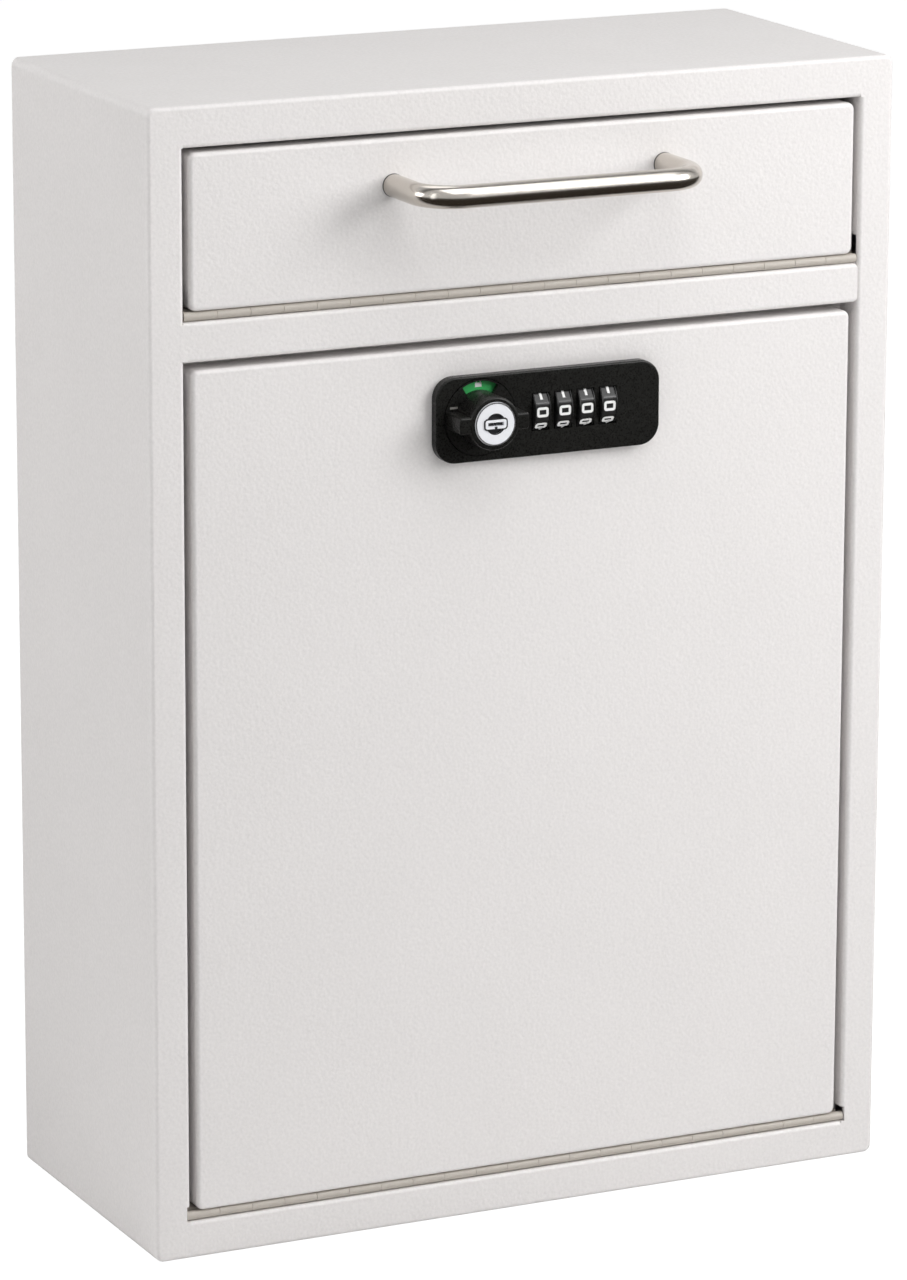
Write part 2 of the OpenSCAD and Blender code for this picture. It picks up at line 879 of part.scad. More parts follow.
module lock_rear_cover() {
  pad_z = 3;
  color(black_coat)
    at_lock()
      difference() {
        union() {
          corner_box([housing_left, housing_back, -housing_h / 2],
            [housing_right, cover_back, housing_h / 2]);
          corner_box([first_dial_x - dial_w / 2, dial_y + dial_d / 2 + spring_gap + spring_t, -pad_z],
            [last_dial_x + dial_w / 2, housing_back, 0]);
        }
        translate([knob_x, 0, 0])
          rod_y(tail_d + run_fit, housing_back - cut, cover_back + cut);
        for (p = post_places)
          translate([p[0], 0, p[1]])
            rod_y(cover_screw_d + screw_clear / 2, housing_back - cut, cover_back + cut);
      }
}

module lock_cover_screws() {
  // Low enough for the cam to pass over the heads
  head_h = 0.7 * (washer_gap + cam_washer_t);
  color(bright)
    at_lock()
      for (p = post_places)
        translate([p[0], 0, p[1]]) {
          rod_y(cover_screw_d, cover_back - cover_screw_len, cover_back + head_h / 2);
          rod_y(1.9 * cover_screw_d, cover_back, cover_back + head_h);
        }
}

module lock_fixing_screws() {
  head_y = sheet_t + lock_washer_t;
  color(bright)
    at_lock()
      for (s = [-1, 1])
        translate([s * lock_screw_x, 0, 0]) {
          rod_y(lock_screw_d, 0.2 - lock_thread_in, head_y + lock_screw_d / 2);
          rod_y(1.9 * lock_screw_d, head_y, head_y + 0.7 * lock_screw_d);
        }
}

module lock_fixing_washers() {
  color(bright)
    at_lock()
      for (s = [-1, 1])
        translate([s * lock_screw_x, 0, 0])
          difference() {
            rod_y(lock_washer_d, sheet_t, sheet_t + lock_washer_t);
            rod_y(lock_screw_d + screw_clear, 0, sheet_t + lock_washer_t + cut);
          }
}

module dial_axle() {
  color(bright)
    at_lock()
      translate([0, dial_y, 0])
        rod_x(axle_d, partition_x, housing_right);
}

module code_sleeves() {
  color(brass)
    at_lock()
      at_dials()
        difference() {
          union() {
            rod_x(sleeve_d, -dial_w / 2, rim_x + rim_t);
            rod_x(gate_d, rim_x, rim_x + rim_t);
          }
          rod_x(axle_d + fast_fit, -dial_w, dial_w);
          translate([rim_x + rim_t / 2, 0, gate_depth / 2 - gate_d / 2])
            cube([2 * rim_t, gate_w, gate_depth + 0.01], center = true);
        }
}

module dial_detent_spring() {
  inner_r = dial_d / 2 + spring_gap;
  outer_r = inner_r + spring_t;
  finger_w = dial_w - 2;
  finger_angle = 60;
  strip_z = 4;
  far = 2 * outer_r;
  color(bright)
    at_lock() {
      corner_box([first_dial_x - dial_w / 2, dial_y + inner_r, -strip_z],
        [last_dial_x + dial_w / 2, dial_y + outer_r, 0.2]);
      at_dials()
        rotate([90, 0, 90])
          linear_extrude(finger_w, center = true)
            intersection() {
              difference() {
                circle(outer_r);
                circle(inner_r);
              }
              polygon([[0, 0], [far, 0], [far, far],
                [far * cos(finger_angle), far * sin(finger_angle)]]);
            }
    }
}

// One number dial: ten flats between two round rims
module number_dial(i) {
  rim_w = 0.5;
  flat_d = dial_d - 0.2;
  color(black_coat)
    at_lock()
      translate([first_dial_x + (i - 1) * dial_pitch, dial_y, 0])
        difference() {
          union() {
            rotate([0, 90, 0])
              cylinder(d = flat_d, h = dial_w - rim_w, center = true, $fn = 10);
            rod_x(dial_d, -dial_w / 2, rim_w - dial_w / 2);
            rod_x(dial_d, dial_w / 2 - rim_w, dial_w / 2);
          }
          rod_x(sleeve_d + run_fit, -dial_w, dial_w);
        }
}

module dial_1() {
  number_dial(1);
}

module dial_2() {
  number_dial(2);
}

module dial_3() {
  number_dial(3);
}

module dial_4() {
  number_dial(4);
}

module lock_bar() {
  color(brass)
    at_lock() {
      corner_box([follower_x, bar_y, bar_low], [bar_end_x, bar_y + bar_depth, bar_low + bar_t]);
      corner_box([follower_x, ring_y - 0.5, bar_low],
        [follower_x + follower_t, ring_y + ring_t + 0.5, follower_t + 1]);
      for (i = [0:3])
        translate([first_dial_x + i * dial_pitch + rim_x + rim_t / 2, dial_y, 0])
          corner_box([-tooth_t / 2, -tooth_w / 2, bar_low], [tooth_t / 2, tooth_w / 2, tooth_top]);
    }
}

module bar_spring() {
  leaf_x = bar_end_x + bar_travel + 0.05;
  leaf_h = 6;
  bend_h = 1.5;
  color(bright)
    at_lock()
      difference() {
        corner_box([leaf_x, bar_y, bar_low], [housing_in_right, bar_y + bar_depth - 1, bar_low + leaf_h]);
        corner_box([leaf_x + spring_t, bar_y - cut, bar_low - cut],
          [housing_in_right + cut, bar_y + bar_depth, bar_low + leaf_h - bend_h]);
      }
}

module lock_knob() {
  edge = 0.8;
  window_in = collar_d / 2 + 0.1;
  window_out = knob_d / 2 - 0.6;
  far = knob_d;
  color(black_coat)
    at_lock()
      translate([knob_x, 0, 0])
        difference() {
          union() {
            difference() {
              rod_y(knob_d, disc_front, disc_back);
              rotate([90, 0, 0])
                linear_extrude(4 * plate_t, center = true)
                  intersection() {
                    difference() {
                      circle(window_out);
                      circle(window_in);
                    }
                    polygon([[0, 0], [-far * sin(window_half_angle), far * cos(window_half_angle)],
                      [far * sin(window_half_angle), far * cos(window_half_angle)]]);
                  }
            }
            translate([0, collar_front, 0])
              rotate([90, 0, 0])
                rotate_extrude()
                  disc_half(collar_d / 2, collar_h, edge);
            intersection() {
              translate([0, disc_front - wing_h, 0])
                faced_slab(knob_d, wing_w, wing_h, 1.5 * edge, edge);
              rod_y(knob_d - 0.4, disc_front - wing_h - cut, disc_front);
            }
            rod_y(spindle_d, disc_front, spindle_back);
            difference() {
              rod_y(tail_d, spindle_back, tail_back);
              for (s = [-1, 1])
                translate([0, (flat_from + cam_back) / 2 + cut, s * (tail_flats + tail_d) / 2])
                  cube([2 * tail_d, cam_back - flat_from + 2 * cut, tail_d], center = true);
            }
          }
          rod_y(plug_d + run_fit, collar_front - cut, plug_back + plug_end_gap);
          rod_y(face_d + 2 * run_fit, collar_front - cut, face_back + run_fit);
          rod_y(cam_screw_d + fast_fit, tail_back - cam_screw_in, tail_back + cut);
        }
}

module spindle_ring() {
  color(brass)
    at_lock()
      translate([knob_x, 0, 0])
        difference() {
          translate([0, 0, bar_travel])
            rod_y(2 * ring_r, ring_y, ring_y + ring_t);
          rod_y(spindle_d + fast_fit, ring_y - cut, ring_y + ring_t + cut);
        }
}

module key_plug() {
  // Width, height above the face and height of the dust shutter
  shutter = [8.4, 0.3, 3.6];
  entry_d = 7;
  entry_depth = 0.8;
  color(key_white)
    at_lock()
      translate([knob_x, 0, 0])
        difference() {
          union() {
            difference() {
              translate([0, face_front, 0])
                rotate([90, 0, 0])
                  rotate_extrude()
                    disc_half(face_d / 2, face_t, 0.4);
              rod_y(entry_d, face_front - cut, face_front + entry_depth);
            }
            rod_y(plug_d, face_back - cut, plug_back);
            corner_box([-shutter[0] / 2, face_front - shutter[1], -shutter[2] / 2],
              [shutter[0] / 2, face_front + entry_depth + cut / 2, shutter[2] / 2]);
          }
          corner_box([-keyway_w / 2, face_front - cut, -keyway_h / 2],
            [keyway_w / 2, plug_back - cut, keyway_h / 2]);
          for (i = [0:wafer_count - 1])
            translate([0, first_wafer_y + i * wafer_pitch, 0])
              cube([2 * plug_d, wafer_t + wafer_clear, wafer_h + wafer_clear], center = true);
        }
}

module key_wafers() {
  color(brass)
    at_lock()
      translate([knob_x, 0, 0])
        for (i = [0:wafer_count - 1])
          translate([0, first_wafer_y + i * wafer_pitch, 0])
            difference() {
              cube([wafer_w, wafer_t, wafer_h], center = true);
              cube([keyway_w - 1, 2 * wafer_t, keyway_h], center = true);
            }
}

module lock_cam() {
  color(bright)
    at_lock()
      translate([knob_x, 0, 0])
        difference() {
          union() {
            rod_y(cam_hub_d, cam_front, cam_back);
            corner_box([cam_tip_w / 2 - cam_reach, cam_front, -cam_tip_w / 2],
              [0, cam_back, cam_tip_w / 2]);
            translate([cam_tip_w / 2 - cam_reach, 0, 0])
              rod_y(cam_tip_w, cam_front, cam_back);
          }
          intersection() {
            rod_y(tail_d + run_fit, cam_front - cut, cam_back + cut);
            cube([2 * tail_d, 4 * cam_back, tail_flats + run_fit], center = true);
          }
        }
}

module cam_washer() {
  color(bright)
    at_lock()
      translate([knob_x, 0, 0])
        difference() {
          rod_y(1.7 * tail_d, cam_front - cam_washer_t, cam_front);
          rod_y(tail_d + 2 * run_fit, cover_back, cam_front + cut);
        }
}

module cam_screw() {
  head_h = 2.4;
  color(bright)
    at_lock()
      translate([knob_x, 0, 0])
        difference() {
          union() {
            rod_y(cam_screw_d, tail_back - cam_screw_in + 0.3, cam_back + head_h / 2);
            rod_y(1.2 * tail_d, cam_back, cam_back + head_h);
          }
          translate([0, cam_back + head_h, 0])
            cube([2 * tail_d, head_h, 1], center = true);
        }
}

cabinet_shell();
back_panel();
mid_rail();
anti_fishing_baffle();
door_hinge_fixed_leaf();
door_hinge_pin();
hopper_hinge_fixed_leaf();
hopper_hinge_pin();
door_panel();
door_side_folds();
door_end_folds();
door_hinge_moving_leaf();
hopper_panel();
hopper_bin();
hopper_handle();
handle_screws();
handle_washers();
hopper_hinge_moving_leaf();
lock_faceplate();
lock_sign();
lock_housing();
lock_rear_cover();
lock_cover_screws();
lock_fixing_screws();
lock_fixing_washers();
dial_axle();
code_sleeves();
dial_detent_spring();
dial_1();
dial_2();
dial_3();
dial_4();
lock_bar();
bar_spring();
lock_knob();
spindle_ring();
key_plug();
key_wafers();
lock_cam();
cam_washer();
cam_screw();
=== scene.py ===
"""Finishes, printed marks, small fittings and studio for a wall-mounted key drop box."""

import json
import logging
import math
from dataclasses import dataclass, field
from enum import Enum

import bmesh
import bpy
import numpy as np
from mathutils import Matrix, Vector


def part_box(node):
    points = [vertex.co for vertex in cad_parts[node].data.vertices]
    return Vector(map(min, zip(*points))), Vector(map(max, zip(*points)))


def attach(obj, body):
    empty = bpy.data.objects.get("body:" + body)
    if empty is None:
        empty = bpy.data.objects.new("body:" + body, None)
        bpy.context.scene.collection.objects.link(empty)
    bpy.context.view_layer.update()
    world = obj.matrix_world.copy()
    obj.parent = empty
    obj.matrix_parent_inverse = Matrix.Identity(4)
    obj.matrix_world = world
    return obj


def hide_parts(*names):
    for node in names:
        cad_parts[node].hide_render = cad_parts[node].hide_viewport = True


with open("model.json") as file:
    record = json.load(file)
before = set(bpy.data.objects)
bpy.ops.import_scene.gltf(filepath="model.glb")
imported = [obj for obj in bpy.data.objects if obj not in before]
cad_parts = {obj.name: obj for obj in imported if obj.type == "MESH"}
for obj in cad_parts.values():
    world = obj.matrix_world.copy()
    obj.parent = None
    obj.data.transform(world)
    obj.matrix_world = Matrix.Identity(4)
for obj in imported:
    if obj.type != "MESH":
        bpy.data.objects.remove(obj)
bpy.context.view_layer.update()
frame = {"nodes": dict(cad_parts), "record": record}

MM = 0.001
LOG = logging.getLogger("drop_box")
RIGHT = np.array([1.0, 0.0, 0.0])
UP = np.array([0.0, 0.0, 1.0])


class Body(Enum):
    """The moving groups that new pieces ride on."""

    CABINET = "root"
    DOOR = "door"
    HOPPER = "hopper"
    KNOB = "knob"
    KEY = "key"


class Slot(Enum):
    """The record's material slots."""

    POWDER_COAT = "powder_coat"
    HINGE_STEEL = "hinge_steel"
    ZINC = "zinc_fasteners"
    HANDLE_STEEL = "handle_steel"
    LOCK_BLACK = "lock_black"
    DIAL_BLACK = "dial_black"
    SIGN_PRINT = "sign_print"
    KEY_FACE = "key_face"
    LOCK_BRASS = "lock_brass"
    SPRING_STEEL = "spring_steel"


class Direction(Enum):
    """Directions in which a metal's grain can run."""

    ALONG_X = 0
    ALONG_Y = 1
    ALONG_Z = 2
    ROUND_THE_ROD = 3


def middle(node: str) -> np.ndarray:
    """Centre of a CAD node's box."""
    low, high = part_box(node)
    return (np.array(low) + np.array(high)) / 2


def unit(vectors: np.ndarray) -> np.ndarray:
    """Vectors divided by their lengths."""
    return vectors / np.linalg.norm(vectors, axis=-1, keepdims=True)


def sideways(vectors: np.ndarray) -> np.ndarray:
    """Plane vectors turned a quarter turn to the left."""
    return np.stack([-vectors[..., 1], vectors[..., 0]], axis=-1)


@dataclass
class Place:
    """A flat place on the object, on which marks are drawn with their own right and up."""

    origin: np.ndarray
    right: np.ndarray
    up: np.ndarray

    @property
    def out(self) -> np.ndarray:
        """Direction in which the place faces."""
        return np.cross(self.right, self.up)

    def lift(self, points: np.ndarray) -> np.ndarray:
        """Carries points given as right, up and out onto the place.

        Args:
            points: Array whose last axis holds the three distances in metres.

        Returns:
            The points in the object's frame.
        """
        axes = np.stack([self.right, self.up, self.out])
        return self.origin + points @ axes


@dataclass
class MeshParts:
    """Collects surfaces and makes one mesh object of them."""

    name: str
    points: list[np.ndarray] = field(default_factory=list)
    faces: list[tuple[int, ...]] = field(default_factory=list)
    along: list[np.ndarray] = field(default_factory=list)
    count: int = 0

    def add(self, grid: np.ndarray, wrap_u: bool = False, wrap_v: bool = True, caps: bool = False,
            along: np.ndarray | None = None) -> None:
        """Adds a grid of points as quads.

        Args:
            grid: Points, as rows by columns by three.
            wrap_u: Joins the last row to the first.
            wrap_v: Joins the last column to the first.
            caps: Closes the first and the last row with one face each.
            along: A pair of surface distances for each point, for a grain that follows the shape.
        """
        rows, columns = grid.shape[:2]
        index = np.arange(rows * columns).reshape(rows, columns) + self.count
        u = np.arange(rows if wrap_u else rows - 1)
        v = np.arange(columns if wrap_v else columns - 1)
        uu, vv = np.meshgrid(u, v, indexing="ij")
        next_u, next_v = (uu + 1) % rows, (vv + 1) % columns
        quads = np.stack([index[uu, vv], index[next_u, vv], index[next_u, next_v], index[uu, next_v]], -1)
        self.faces += [tuple(q) for q in quads.reshape(-1, 4).tolist()]
        if caps:
            self.faces += [tuple(index[0].tolist()), tuple(index[-1][::-1].tolist())]
        self.points.append(grid.reshape(-1, 3))
        self.along.append(np.zeros((rows * columns, 2)) if along is None else along.reshape(-1, 2))
        self.count += rows * columns

    def build(self, material: bpy.types.Material, body: str,
              sharp_degrees: float = 35.0) -> bpy.types.Object:
        """Makes the mesh object, dresses it and lets it ride on a body.

        Args:
            material: Its finish.
            body: Name of the body that carries it.
            sharp_degrees: Edges that turn by more than this stay crisp.

        Returns:
            The new object.
        """
        mesh = bpy.data.meshes.new(self.name)
        mesh.from_pydata(np.concatenate(self.points).tolist(), [], self.faces)
        vertex_of_loop = np.zeros(len(mesh.loops), dtype=np.int32)
        mesh.loops.foreach_get("vertex_index", vertex_of_loop)
        layer = mesh.uv_layers.new(name="Surface")
        layer.data.foreach_set("uv", np.concatenate(self.along)[vertex_of_loop].ravel())
        shell = bmesh.new()
        shell.from_mesh(mesh)
        bmesh.ops.recalc_face_normals(shell, faces=shell.faces)
        shell.to_mesh(mesh)
        shell.free()
        mesh.shade_smooth()
        mesh.set_sharp_from_angle(angle=math.radians(sharp_degrees))
        piece = bpy.data.objects.new(self.name, mesh)
        bpy.context.scene.collection.objects.link(piece)
        mesh.materials.append(material)
        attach(piece, body)
        LOG.info("%s: %d faces on %s", self.name, len(mesh.polygons), body)
        return piece


def rounded(path: np.ndarray, radius: float, closed: bool, steps: int = 5) -> np.ndarray:
    """Rounds the corners of a path.

    Each corner becomes a quadratic curve: it starts and ends a radius away from the corner along
    the two sides, and the corner is its middle control point.

    Args:
        path: Corner points in the plane.
        radius: Distance from each corner at which its curve starts.
        closed: Whether the last point joins the first.
        steps: Points on each curve.

    Returns:
        The points of the rounded path.
    """
    corners = path if closed else path[1:-1]
    if len(corners) == 0:
        return path
    before = np.roll(path, 1, axis=0) if closed else path[:-2]
    after = np.roll(path, -1, axis=0) if closed else path[2:]
    start = corners + unit(before - corners) * radius
    end = corners + unit(after - corners) * radius
    t = np.linspace(0.0, 1.0, steps)[None, :, None]
    curve = (1 - t) ** 2 * start[:, None] + 2 * t * (1 - t) * corners[:, None] + t**2 * end[:, None]
    curve = curve.reshape(-1, 2)
    return curve if closed else np.vstack([path[:1], curve, path[-1:]])


def ribbon(path: np.ndarray, width: float, height: float, closed: bool, sink: float = 0.02 * MM) -> np.ndarray:
    """Raised line of even width along a path.

    Each point moves half the width to both sides along the mitre of its two neighbouring
    stretches, and the section is a rectangle from just below the surface up to the height.

    Args:
        path: Points in the plane.
        width: Width of the line.
        height: Height above the surface.
        closed: Whether the last point joins the first.
        sink: Depth to which the line reaches below the surface.

    Returns:
        Grid of points by four section corners by three.
    """
    if closed:
        before, after = np.roll(path, 1, axis=0), np.roll(path, -1, axis=0)
    else:
        before = np.vstack([2 * path[:1] - path[1:2], path[:-1]])
        after = np.vstack([path[1:], 2 * path[-1:] - path[-2:-1]])
    arriving, leaving = unit(path - before), unit(after - path)
    mitre = unit(sideways(arriving + leaving))
    reach = width / 2 / np.sum(mitre * sideways(arriving), axis=1, keepdims=True)
    left, right = path + mitre * reach, path - mitre * reach
    level = np.ones((len(path), 1))
    return np.stack([
        np.hstack([left, level * height]), np.hstack([right, level * height]),
        np.hstack([right, -level * sink]), np.hstack([left, -level * sink])], axis=1)


def disc(radius: float, inner: float, height: float, turn: tuple[float, float] = (0.0, 360.0),
         steps: int = 64, sink: float = 0.02 * MM) -> np.ndarray:
    """Flat ring, or a sector of one, as a ribbon along an arc.

    Args:
        radius: Outer radius.
        inner: Inner radius.
        height: Height above the surface.
        turn: First and last angle in degrees, from the right and counted to the left.
        steps: Points along the arc.
        sink: Depth to which the ring reaches below the surface.

    Returns:
        Grid of points by four section corners by three.
    """
    whole = turn[1] - turn[0] >= 360.0
    angles = np.radians(np.linspace(turn[0], turn[1], steps, endpoint=not whole))
    circle = np.stack([np.cos(angles), np.sin(angles)], axis=-1)
    path = circle * (radius + inner) / 2
    return ribbon(path, radius - inner, height, whole, sink)


@dataclass
class Graph:
    """A node tree under construction."""

    tree: bpy.types.NodeTree

    def add(self, kind: str, inputs: dict | None = None, **settings: object) -> bpy.types.Node:
        """Adds a node.

        Args:
            kind: Node type without its ShaderNode prefix.
            inputs: Values or sockets by input name or number.
            settings: Properties of the node.

        Returns:
            The node.
        """
        node = self.tree.nodes.new("ShaderNode" + kind)
        for key, value in settings.items():
            setattr(node, key, value)
        for key, value in (inputs or {}).items():
            if isinstance(value, bpy.types.NodeSocket):
                self.tree.links.new(value, node.inputs[key])
            else:
                node.inputs[key].default_value = value
        return node

    def math(self, operation: str, first: object, second: object = 0.0) -> bpy.types.NodeSocket:
        """Result of a Math node."""
        return self.add("Math", {0: first, 1: second}, operation=operation).outputs[0]

    def between(self, value: object, low: float, high: float, to_low: float = 0.0,
                to_high: float = 1.0) -> bpy.types.NodeSocket:
        """Value carried from one span to another, held at its ends."""
        inputs = {"Value": value, "From Min": low, "From Max": high, "To Min": to_low, "To Max": to_high}
        return self.add("MapRange", inputs).outputs["Result"]

    def blend(self, share: object, first: object, second: object,
              blend_type: str = "MIX") -> bpy.types.NodeSocket:
        """Mix of two colours."""
        node = self.add("Mix", data_type="RGBA", blend_type=blend_type)
        for name, value in (("Factor_Float", share), ("A_Color", first), ("B_Color", second)):
            socket = next(s for s in node.inputs if s.identifier == name)
            if isinstance(value, bpy.types.NodeSocket):
                self.tree.links.new(value, socket)
            else:
                socket.default_value = value
        return next(s for s in node.outputs if s.identifier == "Result_Color")


def new_group(name: str, inputs: dict[str, tuple[str, object]], outputs: dict[str, str]) -> tuple[Graph, object, object]:
    """Empty shader group with named sockets.

    Args:
        name: Name of the group.
        inputs: Socket kind and standard value by input name.
        outputs: Socket kind by output name.

    Returns:
        The graph of the group, its input node and its output node.
    """
    tree = bpy.data.node_groups.new(name, "ShaderNodeTree")
    for label, (kind, value) in inputs.items():
        socket = tree.interface.new_socket(label, in_out="INPUT", socket_type="NodeSocket" + kind)
        socket.default_value = value
    for label, kind in outputs.items():
        tree.interface.new_socket(label, in_out="OUTPUT", socket_type="NodeSocket" + kind)
    return Graph(tree), tree.nodes.new("NodeGroupInput"), tree.nodes.new("NodeGroupOutput")


class Effects:
    """Shader groups that several finishes share."""

    def __init__(self) -> None:
        """Builds every group once."""
        self.peel = self.make_peel()
        self.tone = self.make_tone()
        self.grain = self.make_grain()
        self.dust = self.make_dust()

    @staticmethod
    def make_peel() -> bpy.types.NodeTree:
        """Skin of a sprayed powder coat: small soft bumps on a slower swell, put out as a height."""
        graph, entry, out = new_group(
            "orange_peel", {"Fine": ("Float", 800.0), "Swell": ("Float", 150.0), "Swell Share": ("Float", 0.4)},
            {"Height": "Float", "Speckle": "Float"})
        place = graph.add("TexCoord").outputs["Object"]
        fine = graph.add("TexNoise", {"Vector": place, "Scale": entry.outputs["Fine"], "Detail": 2.0,
                                      "Roughness": 0.5})
        cells = graph.add("TexVoronoi", {"Vector": place, "Scale": entry.outputs["Fine"], "Smoothness": 1.0},
                          feature="SMOOTH_F1")
        swell = graph.add("TexNoise", {"Vector": place, "Scale": entry.outputs["Swell"], "Detail": 1.0})
        bumps = graph.math("SUBTRACT", fine.outputs["Fac"], graph.math("MULTIPLY", cells.outputs["Distance"], 0.5))
        slow = graph.math("MULTIPLY", swell.outputs["Fac"], entry.outputs["Swell Share"])
        graph.tree.links.new(graph.math("ADD", bumps, slow), out.inputs["Height"])
        graph.tree.links.new(graph.between(fine.outputs["Fac"], 0.3, 0.7), out.inputs["Speckle"])
        return graph.tree

    @staticmethod
    def make_tone() -> bpy.types.NodeTree:
        """Slight unevenness of a colour over large patches and small specks."""
        graph, entry, out = new_group(
            "uneven_tone", {"Color": ("Color", (1.0, 1.0, 1.0, 1.0)), "Spread": ("Float", 0.02),
                            "Patches": ("Float", 18.0), "Specks": ("Float", 900.0)}, {"Color": "Color"})
        place = graph.add("TexCoord").outputs["Object"]
        patches = graph.add("TexNoise", {"Vector": place, "Scale": entry.outputs["Patches"], "Detail": 3.0})
        specks = graph.add("TexNoise", {"Vector": place, "Scale": entry.outputs["Specks"], "Detail": 1.0})
        slow = graph.math("MULTIPLY", patches.outputs["Fac"], 0.3)
        both = graph.math("ADD", slow, specks.outputs["Fac"])
        shift = graph.math("MULTIPLY", graph.math("SUBTRACT", both, 0.65), entry.outputs["Spread"])
        level = graph.math("ADD", graph.math("MULTIPLY", shift, 2.0), 1.0)
        tint = graph.add("CombineColor", {"Red": level, "Green": level, "Blue": level}).outputs["Color"]
        graph.tree.links.new(graph.blend(1.0, entry.outputs["Color"], tint, "MULTIPLY"), out.inputs["Color"])
        return graph.tree

    @staticmethod
    def make_grain() -> bpy.types.NodeTree:
        """Fine drawn-out scratches: noise whose place is stretched by a vector before it is read."""
        graph, entry, out = new_group(
            "drawn_grain", {"Place": ("Vector", (0.0, 0.0, 0.0)), "Stretch": ("Vector", (1.0, 1.0, 1.0))},
            {"Height": "Float", "Streak": "Float"})
        drawn = graph.add("VectorMath", {0: entry.outputs["Place"], 1: entry.outputs["Stretch"]},
                          operation="MULTIPLY").outputs["Vector"]
        fine = graph.add("TexNoise", {"Vector": drawn, "Scale": 1.0, "Detail": 3.0, "Roughness": 0.6})
        graph.tree.links.new(fine.outputs["Fac"], out.inputs["Height"])
        graph.tree.links.new(graph.between(fine.outputs["Fac"], 0.35, 0.65), out.inputs["Streak"])
        return graph.tree

    @staticmethod
    def make_dust() -> bpy.types.NodeTree:
        """Thin settled dust: strongest on faces that look up, broken up by noise."""
        graph, entry, out = new_group("settled_dust", {"Amount": ("Float", 0.1)}, {"Mask": "Float"})
        place = graph.add("TexCoord").outputs["Object"]
        facing = graph.add("SeparateXYZ", {0: graph.add("NewGeometry").outputs["Normal"]}).outputs["Z"]
        cloud = graph.add("TexNoise", {"Vector": place, "Scale": 60.0, "Detail": 4.0}).outputs["Fac"]
        mask = graph.math("MULTIPLY", graph.between(facing, 0.3, 1.0), graph.between(cloud, 0.35, 0.75))
        graph.tree.links.new(graph.math("MULTIPLY", mask, entry.outputs["Amount"]), out.inputs["Mask"])
        return graph.tree


@dataclass(frozen=True)
class Finish:
    """What every finish has in common."""

    name: str
    color: tuple[float, float, float]
    roughness: float

    def start(self) -> tuple[Graph, bpy.types.Node]:
        """New material with its principled shader.

        Returns:
            The graph and the shader node.
        """
        material = bpy.data.materials.new(self.name)
        material.use_nodes = True
        graph = Graph(material.node_tree)
        shader = material.node_tree.nodes["Principled BSDF"]
        shader.inputs["Roughness"].default_value = self.roughness
        shader.inputs["Base Color"].default_value = (*self.color, 1.0)
        return graph, shader

    def material(self) -> bpy.types.Material:
        """The material of this finish's name."""
        return bpy.data.materials[self.name]


@dataclass(frozen=True)
class PaintFinish(Finish):
    """Sprayed or moulded skin with a bumpy surface."""

    bump_mm: float = 0.02
    fine: float = 800.0
    swell: float = 150.0
    swell_share: float = 0.4
    spread: float = 0.02
    specular: float = 0.5
    roughness_spread: float = 0.06
    dust: float = 0.0
    dust_color: tuple[float, float, float] = (0.55, 0.52, 0.48)

    def make(self, effects: Effects) -> bpy.types.Material:
        """Builds the material.

        Args:
            effects: The shared shader groups.

        Returns:
            The material.
        """
        graph, shader = self.start()
        shader.inputs["Specular IOR Level"].default_value = self.specular
        peel = graph.add("Group", node_tree=effects.peel)
        peel.inputs["Fine"].default_value = self.fine
        peel.inputs["Swell"].default_value = self.swell
        peel.inputs["Swell Share"].default_value = self.swell_share
        tone = graph.add("Group", node_tree=effects.tone)
        tone.inputs["Color"].default_value = (*self.color, 1.0)
        tone.inputs["Spread"].default_value = self.spread
        dust = graph.add("Group", node_tree=effects.dust)
        dust.inputs["Amount"].default_value = self.dust
        bump = graph.add("Bump", {"Height": peel.outputs["Height"], "Distance": self.bump_mm * MM, "Strength": 1.0})
        color = graph.blend(dust.outputs["Mask"], tone.outputs["Color"], (*self.dust_color, 1.0))
        rough = graph.between(peel.outputs["Speckle"], 0.0, 1.0, self.roughness - self.roughness_spread,
                              self.roughness + self.roughness_spread)
        links = graph.tree.links
        links.new(color, shader.inputs["Base Color"])
        links.new(rough, shader.inputs["Roughness"])
        links.new(bump.outputs["Normal"], shader.inputs["Normal"])
        return self.material()


@dataclass(frozen=True)
class MetalFinish(Finish):
    """Bare or plated metal with a drawn grain."""

    direction: Direction = Direction.ALONG_X
    across: float = 6000.0
    along: float = 150.0
    bump_mm: float = 0.003
    roughness_spread: float = 0.08
    spread: float = 0.03

    def make(self, effects: Effects) -> bpy.types.Material:
        """Builds the material.

        Args:
            effects: The shared shader groups.

        Returns:
            The material.
        """
        graph, shader = self.start()
        shader.inputs["Metallic"].default_value = 1.0
        stretch = [self.across] * 3
        if self.direction is Direction.ROUND_THE_ROD:
            place = graph.add("UVMap", uv_map="Surface").outputs["UV"]
            stretch[1] = self.along
        else:
            place = graph.add("TexCoord").outputs["Object"]
            stretch[self.direction.value] = self.along
        grain = graph.add("Group", {"Place": place}, node_tree=effects.grain)
        grain.inputs["Stretch"].default_value = stretch
        tone = graph.add("Group", node_tree=effects.tone)
        tone.inputs["Color"].default_value = (*self.color, 1.0)
        tone.inputs["Spread"].default_value = self.spread
        bump = graph.add("Bump", {"Height": grain.outputs["Height"], "Distance": self.bump_mm * MM})
        rough = graph.between(grain.outputs["Streak"], 0.0, 1.0, self.roughness - self.roughness_spread,
                              self.roughness + self.roughness_spread)
        links = graph.tree.links
        links.new(tone.outputs["Color"], shader.inputs["Base Color"])
        links.new(rough, shader.inputs["Roughness"])
        links.new(bump.outputs["Normal"], shader.inputs["Normal"])
        return self.material()


